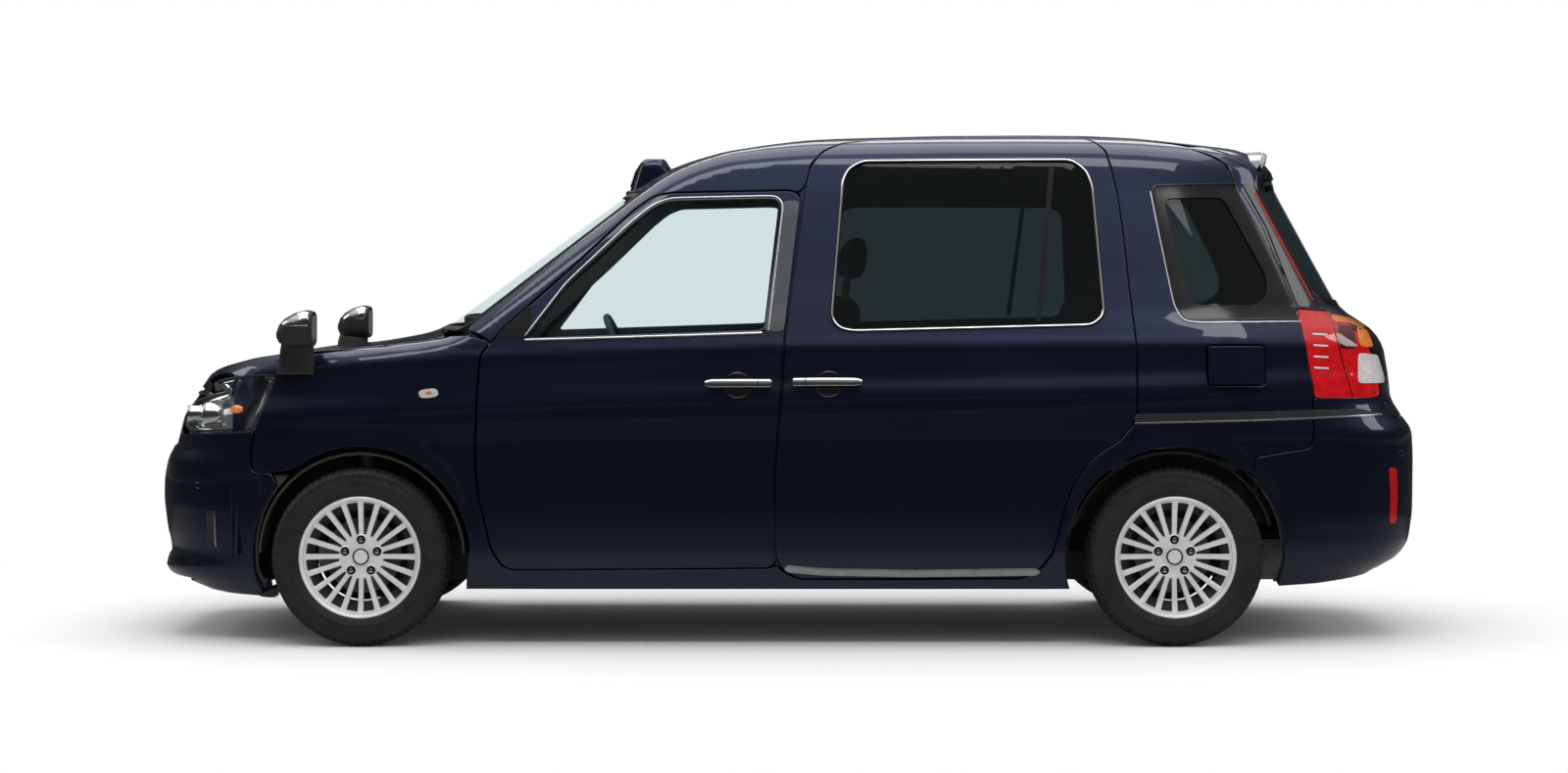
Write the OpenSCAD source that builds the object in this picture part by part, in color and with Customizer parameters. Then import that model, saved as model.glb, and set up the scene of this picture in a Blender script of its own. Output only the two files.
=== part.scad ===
// Tall five-seat taxi with a saloon nose, a hinged lid at each end, three
// hinged side doors and one sliding door on the left.  Millimetres.
// +X runs to the rear, +Y to the vehicle's right and +Z up.  The origin lies
// on the ground, on the centreline, halfway along the body.

/* [Body] */
// Length over the bumpers
body_l = 4400; // [4200:10:5300]
// Width over the door skins
body_w = 1695; // [1600:5:2040]
// Height of the roof at the centreline
body_h = 1750; // [1650:5:2100]
// Front bumper to front axle
front_overhang = 760; // [700:5:900]
// Front axle to rear axle
wheelbase = 2750; // [2650:10:3300]
// Thickness of a door's outer skin with its folded edge
skin_t = 22; // [16:1:28]
// Thickness of a whole door
door_t = 70; // [56:1:84]
// Depth of the pillars and sills
frame_t = 110; // [96:1:132]
// Gap round a part that opens
shut_gap = 6; // [5.5:0.5:9]
// Gap ahead of a hinged door's front edge
hinge_gap = 10; // [9.5:0.5:14]
// Joint between two fixed panels
seam = 0.8; // [0.4:0.1:0.9]
// Clearance between two pieces that are bolted together
fit = 0.3; // [0.2:0.05:0.5]

/* [Wheels] */
// Outer radius of a tyre
tyre_r = 301.5; // [280:0.5:318]
// Width of a tyre across its walls
tyre_w = 185; // [165:5:205]
// Radius of the rim at its flange
rim_r = 205; // [190:1:215]
// Body side to the middle of the tyre
wheel_inset = 105; // [100:1:125]
// Radius of the wheel arches
arch_r = 371; // [368:1:400]
// Spokes in a wheel
spokes = 20; // [10:1:24]
// Radius of a wheel spindle
spindle_r = 15; // [12:0.5:18]

/* [Hinges] */
// Radius of a hinge pin
pin_r = 4; // [3:0.5:5]
// Radial clearance of a pin in its sleeve
pin_clear = 0.3; // [0.1:0.05:0.4]
// Length of a hinge sleeve
sleeve_l = 50; // [40:1:60]
// Door edge to the hinge axis, along the body
hinge_back = 36; // [32:1:42]
// Door skin to the hinge axis, across the body
hinge_in = 17; // [15:0.5:19]

/* [Cabin] */
// Top of the cabin floor
floor_z = 330; // [320:1:400]
// Thickness of the floor
floor_t = 30; // [20:1:36]
// Top of the luggage floor
deck_z = 620; // [600:1:680]
// Thickness of a glass pane
glass_t = 5; // [3:0.5:8]
// Radius of the steering wheel's rim
steering_r = 185; // [170:1:195]

/* [Plates] */
// Width of a number plate carrier
plate_w = 340; // [330:1:360]
// Height of a number plate carrier
plate_h = 172; // [165:1:190]
// Distance between a plate's two screws
plate_pitch = 210; // [180:1:240]
// Radius of a plate's screw holes
plate_hole_r = 3.3; // [2.5:0.1:4]

/* [Hidden] */

navy = "#141a30";
black = "#15161a";
silver = "#c9cdd0";
steel = "#5a5f66";
glass_tint = "#8fa5a8";

// The outlines below are drawn for a body of these sizes and stretched to the
// chosen ones: along X between the bumpers and the two axles, and in height.
drawn_x = [-2200, -1440, 1310, 2200];
drawn_w = 1695;
drawn_h = 1750;
front_axle = -body_l / 2 + front_overhang;
rear_axle = front_axle + wheelbase;
real_x = [-body_l / 2, front_axle, rear_axle, body_l / 2];
x_map = [for (i = [0:3]) [drawn_x[i], real_x[i]]];
ky = body_w / drawn_w;
kz = body_h / drawn_h;
far = 400;
function mx(x) = x < drawn_x[0] ? real_x[0] + x - drawn_x[0]
    : x > drawn_x[3] ? real_x[3] + x - drawn_x[3] : lookup(x, x_map);
function outline(points) = [for (p = points) [mx(p[0]), p[1] * kz]];
function power(v, n) = sign(v) * pow(abs(v), n);

// Front face, rear face and half width of the body at each height
nose = [[140, -1887], [154, -2044], [189, -2092], [213, -2182], [240, -2200], [302, -2166],
    [378, -2182], [471, -2193], [547, -2190], [619, -2176], [653, -2155], [772, -2124],
    [867, -2054], [911, -2040]];
tail = [[140, 1950], [189, 2010], [240, 2080], [268, 2145], [326, 2187], [426, 2200],
    [626, 2200], [719, 2195], [760, 2160], [825, 2118], [911, 2111], [1001, 2097],
    [1063, 2061], [1112, 1985], [1133, 1950], [1550, 1730], [1629, 1715], [1690, 1680],
    [1760, 1600]];
width = [[140, 770], [189, 790], [302, 825], [471, 843], [690, 847.5], [867, 841],
    [911, 831], [1030, 815], [1063, 802], [1250, 742], [1545, 655], [1650, 622],
    [1690, 600], [1715, 575], [1735, 545], [1750, 480], [1765, 380]];
levels = [140, 154, 189, 240, 302, 378, 471, 619, 690, 772, 867, 911, 1001, 1063, 1112,
    1133, 1250, 1545, 1600, 1650, 1690, 1715, 1735, 1750, 1765];
// Height of the centreline over hood, windscreen and roof
ridge = [[-2400, 720], [-2200, 800], [-2112, 855], [-2006, 919], [-1709, 982],
    [-1426, 1020], [-1284, 1046], [-1211, 1073], [-589, 1528], [-480, 1600], [-430, 1625],
    [-354, 1655], [-230, 1690], [-80, 1713], [67, 1731], [200, 1738], [530, 1748],
    [830, 1750], [1050, 1748], [1213, 1740], [1426, 1716], [1568, 1700], [1601, 1690],
    [1700, 1660], [2400, 1660]];
stations = [-2400, -2200, -2112, -2060, -2006, -1850, -1709, -1426, -1284, -1211, -1150,
    -1070, -900, -740, -589, -530, -480, -430, -354, -230, -80, 67, 200, 530, 830, 1050,
    1213, 1426, 1568, 1601, 1700, 2400];
// How far the sides of the windscreen lie behind its middle, and how far the
// sides of hood and roof lie below it
sweep = [[-1400, 0], [-1200, 150], [-400, 120], [0, 0], [2400, 0]];
crown = [[-2400, 30], [-1300, 18], [-1100, 10], [-400, 20], [200, 38], [2400, 38]];
nose_power = 5.4;
tail_power = 7;
ring_points = 44;
rows = 12;

function plan(z, t) = let (xf = lookup(z, nose), xr = lookup(z, tail), xm = (xf + xr) / 2,
        w = lookup(z, width) * ky - t)
    [for (i = [0:ring_points - 1]) let (a = 360 * (i + 0.5) / ring_points, c = cos(a),
            n = c < 0 ? nose_power : tail_power, s = power(c, 2 / n))
        [(c < 0 ? mx(xm + (xm - xf) * s) : mx(xm + (xr - xm) * s)) - t * s,
            w * power(sin(a), 2 / n), z * kz]];
function top_z(x, y) = let (v = pow(y / drawn_w * 2, 2))
    lookup(x - lookup(x, sweep) * v, ridge) - lookup(x, crown) * v;

module walls(t) {
    below = t > 0 ? [for (p = plan(levels[0], t)) [p[0], p[1], p[2] - 90]] : [];
    count = len(levels) + (t > 0 ? 1 : 0);
    loops = concat(below, [for (z = levels) each plan(z, t)]);
    polyhedron(loops, concat(
        [[for (i = [0:ring_points - 1]) i]],
        [for (k = [0:count - 2], i = [0:ring_points - 1])
            let (j = (i + 1) % ring_points, a = k * ring_points, b = a + ring_points)
            each [[a + i, b + i, b + j], [a + i, b + j, a + j]]],
        [[for (i = [ring_points - 1:-1:0]) (count - 1) * ring_points + i]]));
}

module under_roof(t) {
    n = len(stations);
    m = rows + 1;
    wide = drawn_w / 2 + 60;
    ys = [for (j = [0:rows]) -wide + 2 * wide * j / rows];
    top = [for (x = stations, y = ys) [mx(x), y * ky, top_z(x, y) * kz - t]];
    low = [for (x = stations, y = ys) [mx(x), y * ky, 0]];
    k = n * m;
    polyhedron(concat(top, low), concat(
        [for (i = [0:n - 2], j = [0:rows - 1]) let (a = i * m + j)
            each [[a, a + 1, a + m + 1], [a, a + m + 1, a + m]]],
        [for (i = [0:n - 2], j = [0:rows - 1]) let (a = k + i * m + j)
            each [[a, a + m + 1, a + 1], [a, a + m, a + m + 1]]],
        [for (i = [0:n - 2]) let (a = i * m) each [[a, a + m, k + a + m], [a, k + a + m, k + a]]],
        [for (i = [0:n - 2]) let (a = i * m + rows)
            each [[a, k + a + m, a + m], [a, k + a, k + a + m]]],
        [for (j = [0:rows - 1]) let (a = j) each [[a, k + a + 1, a + 1], [a, k + a, k + a + 1]]],
        [for (j = [0:rows - 1]) let (a = (n - 1) * m + j)
            each [[a, a + 1, k + a + 1], [a, k + a + 1, k + a]]]));
}

// The body's outer form moved in by t, and the layer between two such forms
module form(t) {
    intersection() {
        walls(t);
        under_roof(t);
    }
}
module layer(t0, t1) {
    difference() {
        form(t0);
        form(t1);
    }
}
// A side-view outline, as a slab from y0 to y1 left of the centreline
module slab(y0 = 0, y1 = body_w) {
    translate([0, -y0, 0]) rotate([90, 0, 0]) linear_extrude(y1 - y0) children();
}
// A front-view outline, as a slab along X from x0 to x1
module across(x0, x1) {
    translate([x0, 0, 0]) rotate([90, 0, 90]) linear_extrude(x1 - x0) children();
}
// A box from its low and high corners
module box(low, high) {
    translate(low) cube(high - low);
}
module right_side() {
    mirror([0, 1, 0]) children();
}
// Everything inside is worked out as one mesh
module mesh() {
    resize([0, 0, 0]) children();
}

// Side-view outlines, as X and Z
front_door_line = [[-1035, 984], [-1045, 837], [-1050, 682], [-1048, 587], [-1038, 500],
    [-1025, 453], [-998, 332], [-964, 274], [-930, 257], [-56, 264], [-40, 278], [-40, 587],
    [-33, 722], [-20, 870], [-9, 1029], [-7, 1045], [49, 1500], [41, 1532], [12, 1543],
    [-396, 1535], [-456, 1524], [-523, 1476], [-730, 1279], [-955, 1077], [-999, 1025]];
front_window_line = [[-880, 1040], [-89, 1066], [-77, 1070], [-26, 1505], [-48, 1512],
    [-400, 1504], [-450, 1484], [-520, 1428], [-740, 1222]];
sliding_door_line = [[-7, 1045], [-16, 851], [-34, 691], [-41, 504], [-36, 295], [-13, 254],
    [42, 226], [791, 229], [854, 260], [895, 317], [917, 399], [936, 482], [965, 552],
    [1006, 614], [1060, 662], [1113, 692], [1169, 753], [1180, 785], [1180, 1006],
    [1161, 1199], [1147, 1380], [1130, 1531], [1108, 1635], [1095, 1683], [1058, 1716],
    [1010, 1728], [787, 1732], [547, 1728], [308, 1720], [189, 1708], [125, 1680],
    [84, 1635], [65, 1560]];
rear_door_line = [[-3, 1045], [-12, 851], [-30, 691], [-37, 504], [-32, 295], [-9, 254],
    [42, 226], [791, 229], [854, 260], [895, 317], [917, 399], [936, 482], [965, 552],
    [1006, 614], [1060, 662], [1113, 692], [1169, 753], [1180, 785], [1180, 1006],
    [1161, 1199], [1147, 1380], [1130, 1500], [1105, 1536], [1070, 1550], [110, 1552],
    [75, 1540], [66, 1520]];
sliding_window_line = [[155, 1107], [180, 1078], [225, 1070], [1030, 1090], [1068, 1121],
    [1040, 1555], [1020, 1610], [974, 1645], [259, 1640], [215, 1615], [196, 1575]];
rear_window_line = [[155, 1107], [180, 1078], [225, 1070], [1030, 1090], [1068, 1121],
    [1045, 1470], [1030, 1500], [995, 1512], [255, 1512], [215, 1500], [198, 1465]];
quarter_line = [[1257, 1540], [1545, 1540], [1637, 1423], [1740, 1152], [1346, 1117],
    [1319, 1152], [1275, 1409]];
headlamp_line = [[-2300, 712], [-2085, 712], [-1809, 726], [-1740, 911], [-2021, 859],
    [-2300, 851]];
tail_lamp_line = [[1737, 1138], [1959, 1118], [2300, 1112], [2300, 838], [1791, 838],
    [1762, 1024]];
fender_line = [[-1600, 250], [-1600, 583], [-1813, 587], [-1823, 653], [-1806, 726],
    [-1737, 914], [-1886, 893], [-1843, 946], [-1740, 1100], [-1300, 1100], [-1300, 1072],
    [-1068, 1068], [-1008, 1020], [-940, 1000], [-900, 990], [-900, 255], [-1100, 255]];
side_line = [[-1075, 190], [2300, 190], [2300, 1800], [-1300, 1800], [-1300, 1078],
    [-1064, 1074], [-1004, 1026], [-960, 1000], [-900, 1000], [-900, 249], [-1075, 249]];
pillar_line = [[-1130, 190], [-900, 190], [-900, 1000], [-1010, 1010], [-1064, 1060],
    [-1130, 1060]];
front_bumper_line = [[-2400, 130], [-1690, 130], [-1690, 575], [-1750, 578], [-1816, 582],
    [-1827, 653], [-1812, 706], [-2400, 706]];
rear_bumper_line = [[1500, 190], [1500, 576], [1576, 580], [1585, 641], [1770, 669],
    [1784, 709], [1784, 838], [2135, 838], [2140, 764], [2400, 764], [2400, 190]];
// Front-view outlines, as Y and Z, and the hood from above, as X and Y
windscreen_line = [[-700, 1076], [700, 1076], [588, 1523], [-588, 1523]];
tailgate_line = [[-500, 1800], [500, 1800], [520, 1640], [622, 1168], [600, 1148],
    [575, 1136], [575, 770], [-575, 770], [-575, 1136], [-600, 1148], [-622, 1168],
    [-520, 1640]];
rear_window_back = [[-440, 1590], [440, 1590], [465, 1560], [545, 1200], [515, 1165],
    [-515, 1165], [-545, 1200], [-465, 1560]];
hood_rear = -1255;
hood_end = -1185;
hood_half = 697;
hood_line = concat(
    [[-2300, -900], [-1892, -900], [-1892, -790], [-1845, -716], [-1743, -hood_half]],
    [for (y = [-hood_half:hood_half / 8:hood_half + 1])
        [min(hood_end, hood_rear + 165 * pow(y / drawn_w * 2, 2)), y]],
    [[-1743, hood_half], [-1845, 716], [-1892, 790], [-1892, 900], [-2300, 900]]);
lamp_inner = 480;
tail_inner = 578;
roof_half = 470;
rail_half = 400;
roof_strip = 8;
door_in = roof_half + roof_strip + shut_gap;
gate_x = 1612;

module side_2d(line, grow = 0) {
    if (grow == 0) polygon(outline(line));
    else offset(delta = grow) polygon(outline(line));
}
module front_2d(line, grow = 0) {
    points = [for (p = line) [p[0] * ky, p[1] * kz]];
    if (grow == 0) polygon(points);
    else offset(delta = grow) polygon(points);
}
module top_2d(line, grow = 0) {
    offset(delta = grow) polygon([for (p = line) [mx(p[0]), p[1] * ky]]);
}
module arch_2d(x, grow = 0) {
    translate([x, tyre_r]) circle(arch_r + grow, $fn = 48);
}
module arches_2d(grow = 0) {
    arch_2d(front_axle, grow);
    arch_2d(rear_axle, grow);
}
// A door's inner box, or the opening for it: moved in from the outline all
// round, and further at its front and rear edges to leave room for a pillar
module inner_2d(line, inset, front, rear) {
    intersection() {
        side_2d(line, -inset);
        translate([front, 0]) side_2d(line, -inset);
        translate([-rear, 0]) side_2d(line, -inset);
    }
}
// Clear strip ahead of a hinged front edge
module hinge_strip_2d(line, low = 0) {
    intersection() {
        side_2d(line, hinge_gap - shut_gap / 2);
        translate([mx(line[2][0]) - 60, low]) square([130, 1012 * kz - low]);
    }
}

// Door hinges: a fixed sleeve on an arm from the pillar, and the door's pin
hinge_y = body_w / 2 - hinge_in;
hinge_seat = hinge_y - 60;
hinge_heights = [545, 800];
lap = 28;
pillar = 50;
box_inset = 24;
opening_inset = 8;
function hinge_x(line) = mx(line[2][0]) + shut_gap / 2 + hinge_back;
module at_hinges(line) {
    for (z = hinge_heights) translate([hinge_x(line), -hinge_y, z * kz]) children();
}
module hinge_pins(line) {
    at_hinges(line) cylinder(r = pin_r, h = sleeve_l + 28, center = true, $fn = 48);
}
module hinge_sleeves(line) {
    sleeve_r = pin_r + 3;
    at_hinges(line) difference() {
        union() {
            cylinder(r = sleeve_r, h = sleeve_l, center = true, $fn = 48);
            box([-4, 0, -sleeve_l / 2], [4, hinge_y - hinge_seat, sleeve_l / 2]);
            box([-12, hinge_y - hinge_seat - 6, -26], [12, hinge_y - hinge_seat, 26]);
        }
        cylinder(r = pin_r + pin_clear, h = sleeve_l + 2, center = true, $fn = 48);
    }
}
module hinge_pockets(line) {
    at_hinges(line) {
        box([-hinge_back - 8, -8.5, -sleeve_l / 2 - 3], [pillar, 70, sleeve_l / 2 + 3]);
        cylinder(r = pin_r + fit, h = sleeve_l + 28.6, center = true, $fn = 24);
    }
}
module hinge_notches(line) {
    at_hinges(line) box([-16, -far, -36], [16, hinge_y - hinge_seat, 36]);
}
module hinge_recess(line) {
    slab(body_w / 2 - 62) intersection() {
        side_2d(line, hinge_gap);
        translate([hinge_x(line) - hinge_back - 20, 0])
            square([hinge_back + 54, 1012 * kz]);
    }
    slab(body_w / 2 - 70) intersection() {
        side_2d(line, hinge_gap);
        translate([hinge_x(line) - hinge_back - 20, 0])
            square([hinge_back + 54, 400 * kz]);
    }
}

// Left half of the body, in layers: skin, then the lapped frame behind it
module side_ring(rear_line, hinged) {
    mesh() difference() {
        union() {
            difference() {
                intersection() {
                    layer(0, lap);
                    slab(roof_half) side_2d(side_line);
                }
                slab(roof_half + roof_strip) {
                    side_2d(front_door_line, shut_gap / 2);
                    side_2d(rear_line, shut_gap / 2);
                    hinge_strip_2d(front_door_line, 262);
                    if (hinged) hinge_strip_2d(rear_line, 262);
                }
                across(gate_x - 17 - seam, 3000) front_2d(tailgate_line, shut_gap / 2);
            }
            difference() {
                intersection() {
                    layer(lap - 1, frame_t);
                    union() {
                        slab(rail_half) side_2d(side_line);
                        slab(rail_half) side_2d(pillar_line);
                    }
                }
                slab(roof_half) {
                    inner_2d(front_door_line, opening_inset, pillar, pillar);
                    inner_2d(rear_line, opening_inset, pillar, 0);
                }
                hinge_recess(front_door_line);
                if (hinged) hinge_recess(rear_line);
                across(gate_x - 40, 3000) front_2d(tailgate_line, -opening_inset);
            }
        }
        slab() {
            arches_2d();
            side_2d(quarter_line);
            side_2d(rear_bumper_line, seam);
        }
        across(-1400, -370) front_2d(windscreen_line, 0.5);
        translate([0, 0, tray_z - 15 - seam]) linear_extrude(far) polygon(concat(
            [[mx(-1300), 0], [mx(-1300), -scuttle_half - seam]],
            [for (i = [8:-1:0]) let (y = -scuttle_half * i / 8)
                [mx(scuttle_x(y)) + 5 + seam, i == 8 ? y - seam : y]]));
        hinge_notches(front_door_line);
        if (hinged) hinge_notches(rear_line);
        intersection() {
            slab(tail_inner - seam) side_2d(tail_lamp_line, seam);
            layer(-5, lamp_t + seam);
        }
        box([mx(2100), -575, 700], [far * 9, 0, 775]);
        if (!hinged) fuel_pocket();
    }
}

// Fuel lid: a rounded plate that leans with the body side, on a hinge ahead
lid_l = 188;
lid_h = 124;
lid_t = 6;
lid_corner = 16;
lid_x = mx(1421);
lid_z = 948 * kz;
lid_lean = 7.5;
lid_skin = lookup(948, width) * ky - 5.5;
module at_lid() {
    translate([lid_x, -lid_skin, lid_z]) rotate([-lid_lean, 0, 0]) rotate([0, 0, -2]) children();
}
module rounded_2d(l, h, r) {
    translate([r, 0]) square([l - 2 * r, h]);
    translate([0, r]) square([l, h - 2 * r]);
    for (x = [r, l - r], y = [r, h - r]) translate([x, y]) circle(r, $fn = 32);
}
module lid_plate(grow, t) {
    translate([-grow, t, -lid_h / 2 - grow]) rotate([90, 0, 0])
        linear_extrude(t) rounded_2d(lid_l + 2 * grow, lid_h + 2 * grow, lid_corner + grow);
}
module fuel_pocket() {
    at_lid() {
        translate([0, -20, 0]) lid_plate(shut_gap, 70);
        box([-12, 8, -26], [20, 50, 26]);
    }
}
module fuel_lid() {
    color(navy) at_lid() {
        difference() {
            union() {
                lid_plate(0, lid_t);
                for (z = [-17, 11]) box([6, lid_t - 1, z], [18, 17, z + 6]);
            }
            translate([12, 12, 0]) cylinder(r = 2.5, h = 60, center = true, $fn = 32);
        }
    }
}
module lid_pin() {
    at_lid() {
        translate([12, 12, 0]) cylinder(r = 2.5 - pin_clear / 2, h = 38, center = true, $fn = 32);
        box([9.5, 14.2, -9.5], [14.5, 50, 9.5]);
    }
}

// Doors: a skin, and an inner box that lies inside the ring's opening
module door(line, window, front, rear, hinged, t = door_t) {
    mesh() difference() {
        union() {
            intersection() {
                layer(0, skin_t);
                slab(door_in) side_2d(line, -shut_gap / 2);
            }
            intersection() {
                layer(skin_t - 1, t);
                slab(door_in) inner_2d(line, box_inset, front, rear);
            }
        }
        slab() side_2d(window);
        if (hinged) hinge_pockets(line);
    }
}
module pane(line, t0 = 8) {
    mesh() intersection() {
        layer(t0, t0 + glass_t);
        slab(rail_half) side_2d(line, -0.5);
    }
}
module front_door_left() {
    color(navy) door(front_door_line, front_window_line, pillar, pillar, true);
    color(steel) hinge_pins(front_door_line);
}
module front_door_right() {
    right_side() front_door_left();
}
module rear_door_right() {
    right_side() {
        color(navy) door(rear_door_line, rear_window_line, pillar, 0, true);
        color(steel) hinge_pins(rear_door_line);
    }
}
module front_glass_left() {
    color(glass_tint) pane(front_window_line);
}
module front_glass_right() {
    right_side() front_glass_left();
}
module rear_glass_right() {
    color(glass_tint) right_side() pane(rear_window_line);
}
module side_glass() {
    color(glass_tint) {
        pane(sliding_window_line);
        pane(quarter_line);
        right_side() pane(quarter_line);
    }
}
// The sliding door stands on guide pads that fill the lap at four places
module sliding_door() {
    color(navy) mesh() {
        door(sliding_door_line, sliding_window_line, pillar, 0, false);
        intersection() {
            layer(skin_t - 1, lap - 1 - fit);
            slab(door_in) side_2d(sliding_door_line, -shut_gap / 2);
            slab(door_in) {
                for (z = [560, 960]) translate([mx(-25), z]) square([30, 60]);
                translate([mx(1160), 900 * kz]) square([14, 60]);
            }
        }
    }
}
module body_side_left() {
    color(navy) side_ring(sliding_door_line, false);
}
module body_side_right() {
    color(navy) right_side() side_ring(rear_door_line, true);
}

// Roof skin between the side rings, with the header that carries the tailgate
roof_t = 24;
roof_end = gate_x - 9;
module roof_panel() {
    color(navy) mesh() {
        difference() {
            intersection() {
                layer(0, roof_t);
                box([mx(-900), -roof_half + seam, 1000], [mx(roof_end), roof_half - seam, 3000]);
            }
            across(-1400, -370) front_2d(windscreen_line, 0.5);
        }
        intersection() {
            layer(roof_t - 1, 75);
            box([mx(roof_end) - 50, -rail_half + seam, 1000],
                [gate_pivot_x - 44, rail_half - seam, 3000]);
        }
    }
}
module windscreen() {
    color(glass_tint) mesh() intersection() {
        layer(3, 3 + glass_t);
        across(-1400, -370) front_2d(windscreen_line);
    }
}

// Front fenders, hood, bumpers and lamps
lamp_t = 60;
module fender_left() {
    color(navy) mesh() difference() {
        intersection() {
            layer(0, skin_t);
            slab(560) side_2d(fender_line);
        }
        slab() {
            arch_2d(front_axle);
            side_2d(front_door_line, hinge_gap - shut_gap / 2);
            side_2d(headlamp_line, seam);
        }
        translate([0, 0, 500]) linear_extrude(2000) top_2d(hood_line, shut_gap);
        box([mx(-1195), -scuttle_half - 6, 1000], [mx(-1040), -540, body_h]);
        slab() side_2d(side_line, seam);
    }
}
module fender_right() {
    right_side() fender_left();
}
hood_t = 28;
hood_pivot_x = mx(-1090);
hood_pivot_z = 1010 * kz;
hood_arm_y = 660;
module hood() {
    color(navy) mesh() difference() {
        union() {
            intersection() {
                layer(0, hood_t);
                translate([0, 0, 500]) linear_extrude(2000) top_2d(hood_line);
            }
            for (y = [-hood_arm_y, hood_arm_y]) {
                box([mx(-1225), y - 10, hood_pivot_z - 10], [hood_pivot_x, y + 10, hood_pivot_z + 5]);
                translate([hood_pivot_x, y, hood_pivot_z]) rotate([90, 0, 0])
                    cylinder(r = 10, h = 20, center = true, $fn = 32);
            }
        }
        slab(-body_w, body_w) side_2d(headlamp_line, shut_gap);
        slab(-body_w, body_w) side_2d([[-2400, 0], [-2400, 853], [-2021, 857], [-1892, 886],
            [-1735, 900], [-1735, 0]]);
        for (y = [-hood_arm_y, hood_arm_y]) translate([hood_pivot_x, y, hood_pivot_z])
            rotate([90, 0, 0]) cylinder(r = pin_r + pin_clear, h = 30, center = true, $fn = 32);
    }
}
module front_bumper() {
    color(navy) mesh() {
        difference() {
            intersection() {
                layer(0, 25);
                slab(-body_w, body_w) side_2d(front_bumper_line);
            }
            slab(-body_w, body_w) arch_2d(front_axle);
            slab(-lamp_inner, lamp_inner) side_2d([[-2400, grille_z[0]], [-2000, grille_z[0]],
                [-2000, 900], [-2400, 900]]);
            slab(-intake_half, intake_half) side_2d([[-2400, intake_z[0]], [-2000, intake_z[0]],
                [-2000, intake_z[1]], [-2400, intake_z[1]]]);
            box([-body_l / 2 - 20, -plate_w / 2 - 5, plate_z - plate_h / 2 - 5],
                [-body_l / 2 + 19, plate_w / 2 + 5, plate_z + plate_h / 2 + 5]);
        }
        for (y = [-rail_y, rail_y]) intersection() {
            form(20);
            box([mx(-2300), y - 30, rail_z], [mx(rail_end), y + 30, rail_z + 80]);
        }
        intersection() {
            form(20);
            box([mx(-2300), -plate_w / 2 - 20, plate_z - plate_h / 2 - 20],
                [-body_l / 2 + 40, plate_w / 2 + 20, plate_z + plate_h / 2 + 20]);
            box([-body_l / 2 + 19, -far, 0], [0, far, 900]);
        }
    }
}
grille_z = [640, 848];
intake_z = [290, 350];
intake_half = 430;
module grille() {
    color(black) mesh() {
        intersection() {
            layer(4, 22);
            slab(-lamp_inner + seam, lamp_inner - seam) side_2d([[-2400, grille_z[0] + seam],
                [-2000, grille_z[0] + seam], [-2000, grille_z[1] - 2], [-2400, grille_z[1] - 2]]);
        }
        intersection() {
            layer(4, 22);
            slab(-intake_half + seam, intake_half - seam) side_2d([[-2400, intake_z[0] + seam],
                [-2000, intake_z[0] + seam], [-2000, intake_z[1] - seam], [-2400, intake_z[1] - seam]]);
        }
    }
}
module headlamp() {
    mesh() intersection() {
        layer(0, lamp_t);
        slab(lamp_inner) side_2d(headlamp_line);
    }
}
module headlamps() {
    color("#dfe6ea") {
        headlamp();
        right_side() headlamp();
    }
}
module tail_lamp() {
    mesh() intersection() {
        layer(0, lamp_t);
        slab(tail_inner) side_2d(tail_lamp_line);
    }
}
module tail_lamps() {
    color("#b3221c") {
        tail_lamp();
        right_side() tail_lamp();
    }
}
module rear_bumper() {
    color(navy) mesh() {
        difference() {
            intersection() {
                layer(0, 25);
                slab(-body_w, body_w) side_2d(rear_bumper_line);
            }
            slab(-body_w, body_w) arch_2d(rear_axle);
            across(mx(1900), far * 9) front_2d(tailgate_line, shut_gap / 2);
        }
        for (y = [-rail_y, rail_y]) intersection() {
            form(20);
            box([mx(rear_wall) + 12, y - 30, 420], [mx(2300), y + 30, 520]);
        }
    }
}

// Tailgate, hinged just behind the roof's rear edge
gate_t = 66;
gate_pivot_x = mx(gate_x) + 22;
gate_pivot_z = 1664 * kz;
gate_hinge_y = 300;
module at_gate_hinges() {
    for (y = [-gate_hinge_y, gate_hinge_y]) translate([gate_pivot_x, y, gate_pivot_z])
        rotate([90, 0, 0]) children();
}
module tailgate() {
    color(navy) mesh() difference() {
        union() {
            intersection() {
                layer(0, 25);
                across(mx(gate_x) + 8, 3000) front_2d(tailgate_line, -shut_gap / 2);
            }
            intersection() {
                layer(24, gate_t);
                across(mx(gate_x) + 34, 3000) front_2d(tailgate_line, -box_inset);
            }
        }
        across(0, 3000) front_2d(rear_window_back);
        at_gate_hinges() {
            cylinder(r = pin_r + fit, h = sleeve_l + 28.6, center = true, $fn = 24);
            box([-40, -90, -sleeve_l / 2 - 3], [14, 8.6, sleeve_l / 2 + 3]);
        }
        box([mx(2084), -plate_w / 2 - 5, rear_plate_z - plate_h / 2 - 5],
            [3000, plate_w / 2 + 5, rear_plate_z + plate_h / 2 + 5]);
    }
    color(steel) at_gate_hinges() cylinder(r = pin_r, h = sleeve_l + 28, center = true, $fn = 48);
}
module tailgate_glass() {
    color(glass_tint) mesh() intersection() {
        layer(6, 6 + glass_t);
        across(1000, 3000) front_2d(rear_window_back, -0.5);
    }
}

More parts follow.
